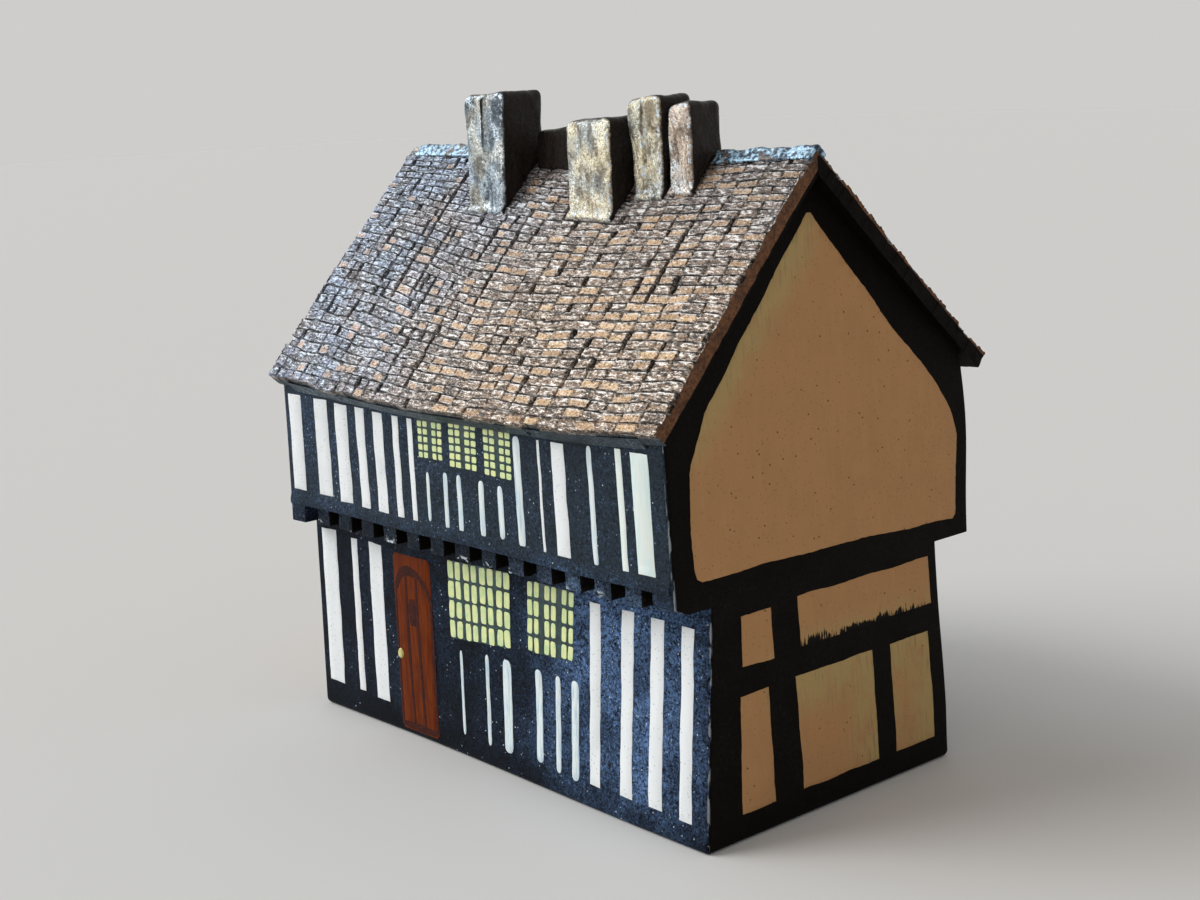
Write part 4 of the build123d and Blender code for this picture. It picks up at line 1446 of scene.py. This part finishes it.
def jetty_lip(side):
    """The soft swelling along the foot of an upper wall."""
    node = f"{side}_jetty_lip"
    low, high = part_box(node)
    wall = FACES[f"{side}_upper"]
    outward = wall.normal.y
    face_y = wall.origin.y
    depth = high[1] - low[1]
    rise = high[2] - low[2]

    def section(x):
        swell = 1 + LIP_SWELL * noise.noise(Vector((x / LIP_SWELL_SIZE, 0, 2)))
        reach = outward * depth * swell
        return [(face_y + reach * out, low[2] + rise * up) for out, up in LIP_SECTION_SHARES]

    strip(node, section, (low[0], high[0]), BLACK, [node])


def eave_cove(side):
    """Smoothed clay between the end of a roof slab and the wall under it."""
    slope = SLOPES[side]
    wall = FACES[f"{side}_upper"]
    node = f"{side}_roof_slope"
    eave = eave_line(node, slope)
    thickness = slab_thickness(node, slope)
    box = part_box(f"{side}_upper_wall")

    def section(x):
        across = slope.flat(Vector((x, 0, 0))).x
        up = between(eave, across)
        high = slope.place(across, up, -thickness * COVE_TOP_SHARE)
        corner = slope.place(across, up, -thickness)
        low = Vector((x, wall.origin.y, corner.z - COVE_DROP))
        points = []
        for step in range(COVE_STEPS + 1):
            share = step / COVE_STEPS
            point = high.lerp(corner, share).lerp(corner.lerp(low, share), share)
            points.append((point.y + wall.normal.y * COVE_LIFT, point.z))
        inner = wall.origin.y - wall.normal.y * COVE_SINK
        return points + [(inner, low.z), (inner, corner.z)]

    strip(f"{side}_eave_cove", section, (box[0][0], box[1][0]), GREY_BLACK, [])


for side in ("front", "back"):
    jetty_lip(side)
    eave_cove(side)


# Stage, lights and camera; each light has a name, a direction, a width, a strength and a colour
FLOOR_SIZE = 3.0
LIGHTS = (
    ("key", (-0.52, -0.62, 0.60), math.radians(34), 1.2, (1.0, 0.99, 0.97)),
    ("high_window", (-0.74, -0.25, 0.63), math.radians(40), 0.75, (0.84, 0.92, 1.0)),
    ("low_window", (-0.72, -0.66, 0.14), math.radians(50), 0.6, (0.84, 0.92, 1.0)),
)
SKY = (1.0, 0.97, 0.94, 1.0)
SKY_STRENGTH = 0.36
BACKGROUND = (0.617, 0.61, 0.597, 1.0)
EYE = (231 * MM, -206 * MM, 109 * MM)
VIEW = (-0.7384, 0.6459, -0.1940)
ROLL = math.radians(2.6)
LENS = 56.97
SENSOR = 36
CLIP_START = 10 * MM


def stage():
    """A plain pale floor that runs on to the horizon."""
    bm = bmesh.new()
    bmesh.ops.create_grid(bm, x_segments=8, y_segments=8, size=FLOOR_SIZE)
    floor = bpy.data.objects.new("floor", mesh_from(bm, "floor"))
    bpy.context.scene.collection.objects.link(floor)
    shader = Shader("floor")
    floor.data.materials.append(shader.finish((0.82, 0.81, 0.79), 0.7, specular_ior_level=0.1))


def sun_light(name, source, angle, strength, colour):
    """An even soft light from one side."""
    lamp = bpy.data.lights.new(name, "SUN")
    lamp.energy = strength
    lamp.angle = angle
    lamp.color = colour
    light = bpy.data.objects.new(name, lamp)
    light.rotation_euler = (-Vector(source)).to_track_quat("-Z", "Y").to_euler()
    bpy.context.scene.collection.objects.link(light)


def world():
    """Dim even light with a pale background for the camera."""
    sky = bpy.data.worlds.new("studio")
    sky.use_nodes = True
    bpy.context.scene.world = sky
    nodes, links = sky.node_tree.nodes, sky.node_tree.links
    light = nodes["Background"]
    light.inputs["Color"].default_value = SKY
    light.inputs["Strength"].default_value = SKY_STRENGTH
    seen = nodes.new("ShaderNodeBackground")
    seen.inputs["Color"].default_value = BACKGROUND
    path = nodes.new("ShaderNodeLightPath")
    shown = path.outputs["Is Camera Ray"]
    for ray in ("Is Glossy Ray", "Is Transmission Ray"):
        either = nodes.new("ShaderNodeMath")
        either.operation = "MAXIMUM"
        links.new(shown, either.inputs[0])
        links.new(path.outputs[ray], either.inputs[1])
        shown = either.outputs[0]
    choose = nodes.new("ShaderNodeMixShader")
    links.new(shown, choose.inputs[0])
    links.new(light.outputs[0], choose.inputs[1])
    links.new(seen.outputs[0], choose.inputs[2])
    links.new(choose.outputs[0], nodes["World Output"].inputs["Surface"])


def camera():
    """The camera at the photograph's place, turned by its slight roll."""
    data = bpy.data.cameras.new("camera")
    data.lens = LENS
    data.sensor_width = SENSOR
    data.clip_start = CLIP_START
    made = bpy.data.objects.new("camera", data)
    made.location = EYE
    look = Vector(VIEW).to_track_quat("-Z", "Y")
    made.rotation_mode = "QUATERNION"
    made.rotation_quaternion = look @ Quaternion((0, 0, 1), -ROLL)
    bpy.context.scene.collection.objects.link(made)
    bpy.context.scene.camera = made


stage()
world()
for light in LIGHTS:
    sun_light(*light)
camera()
bpy.context.scene.view_settings.view_transform = "Standard"
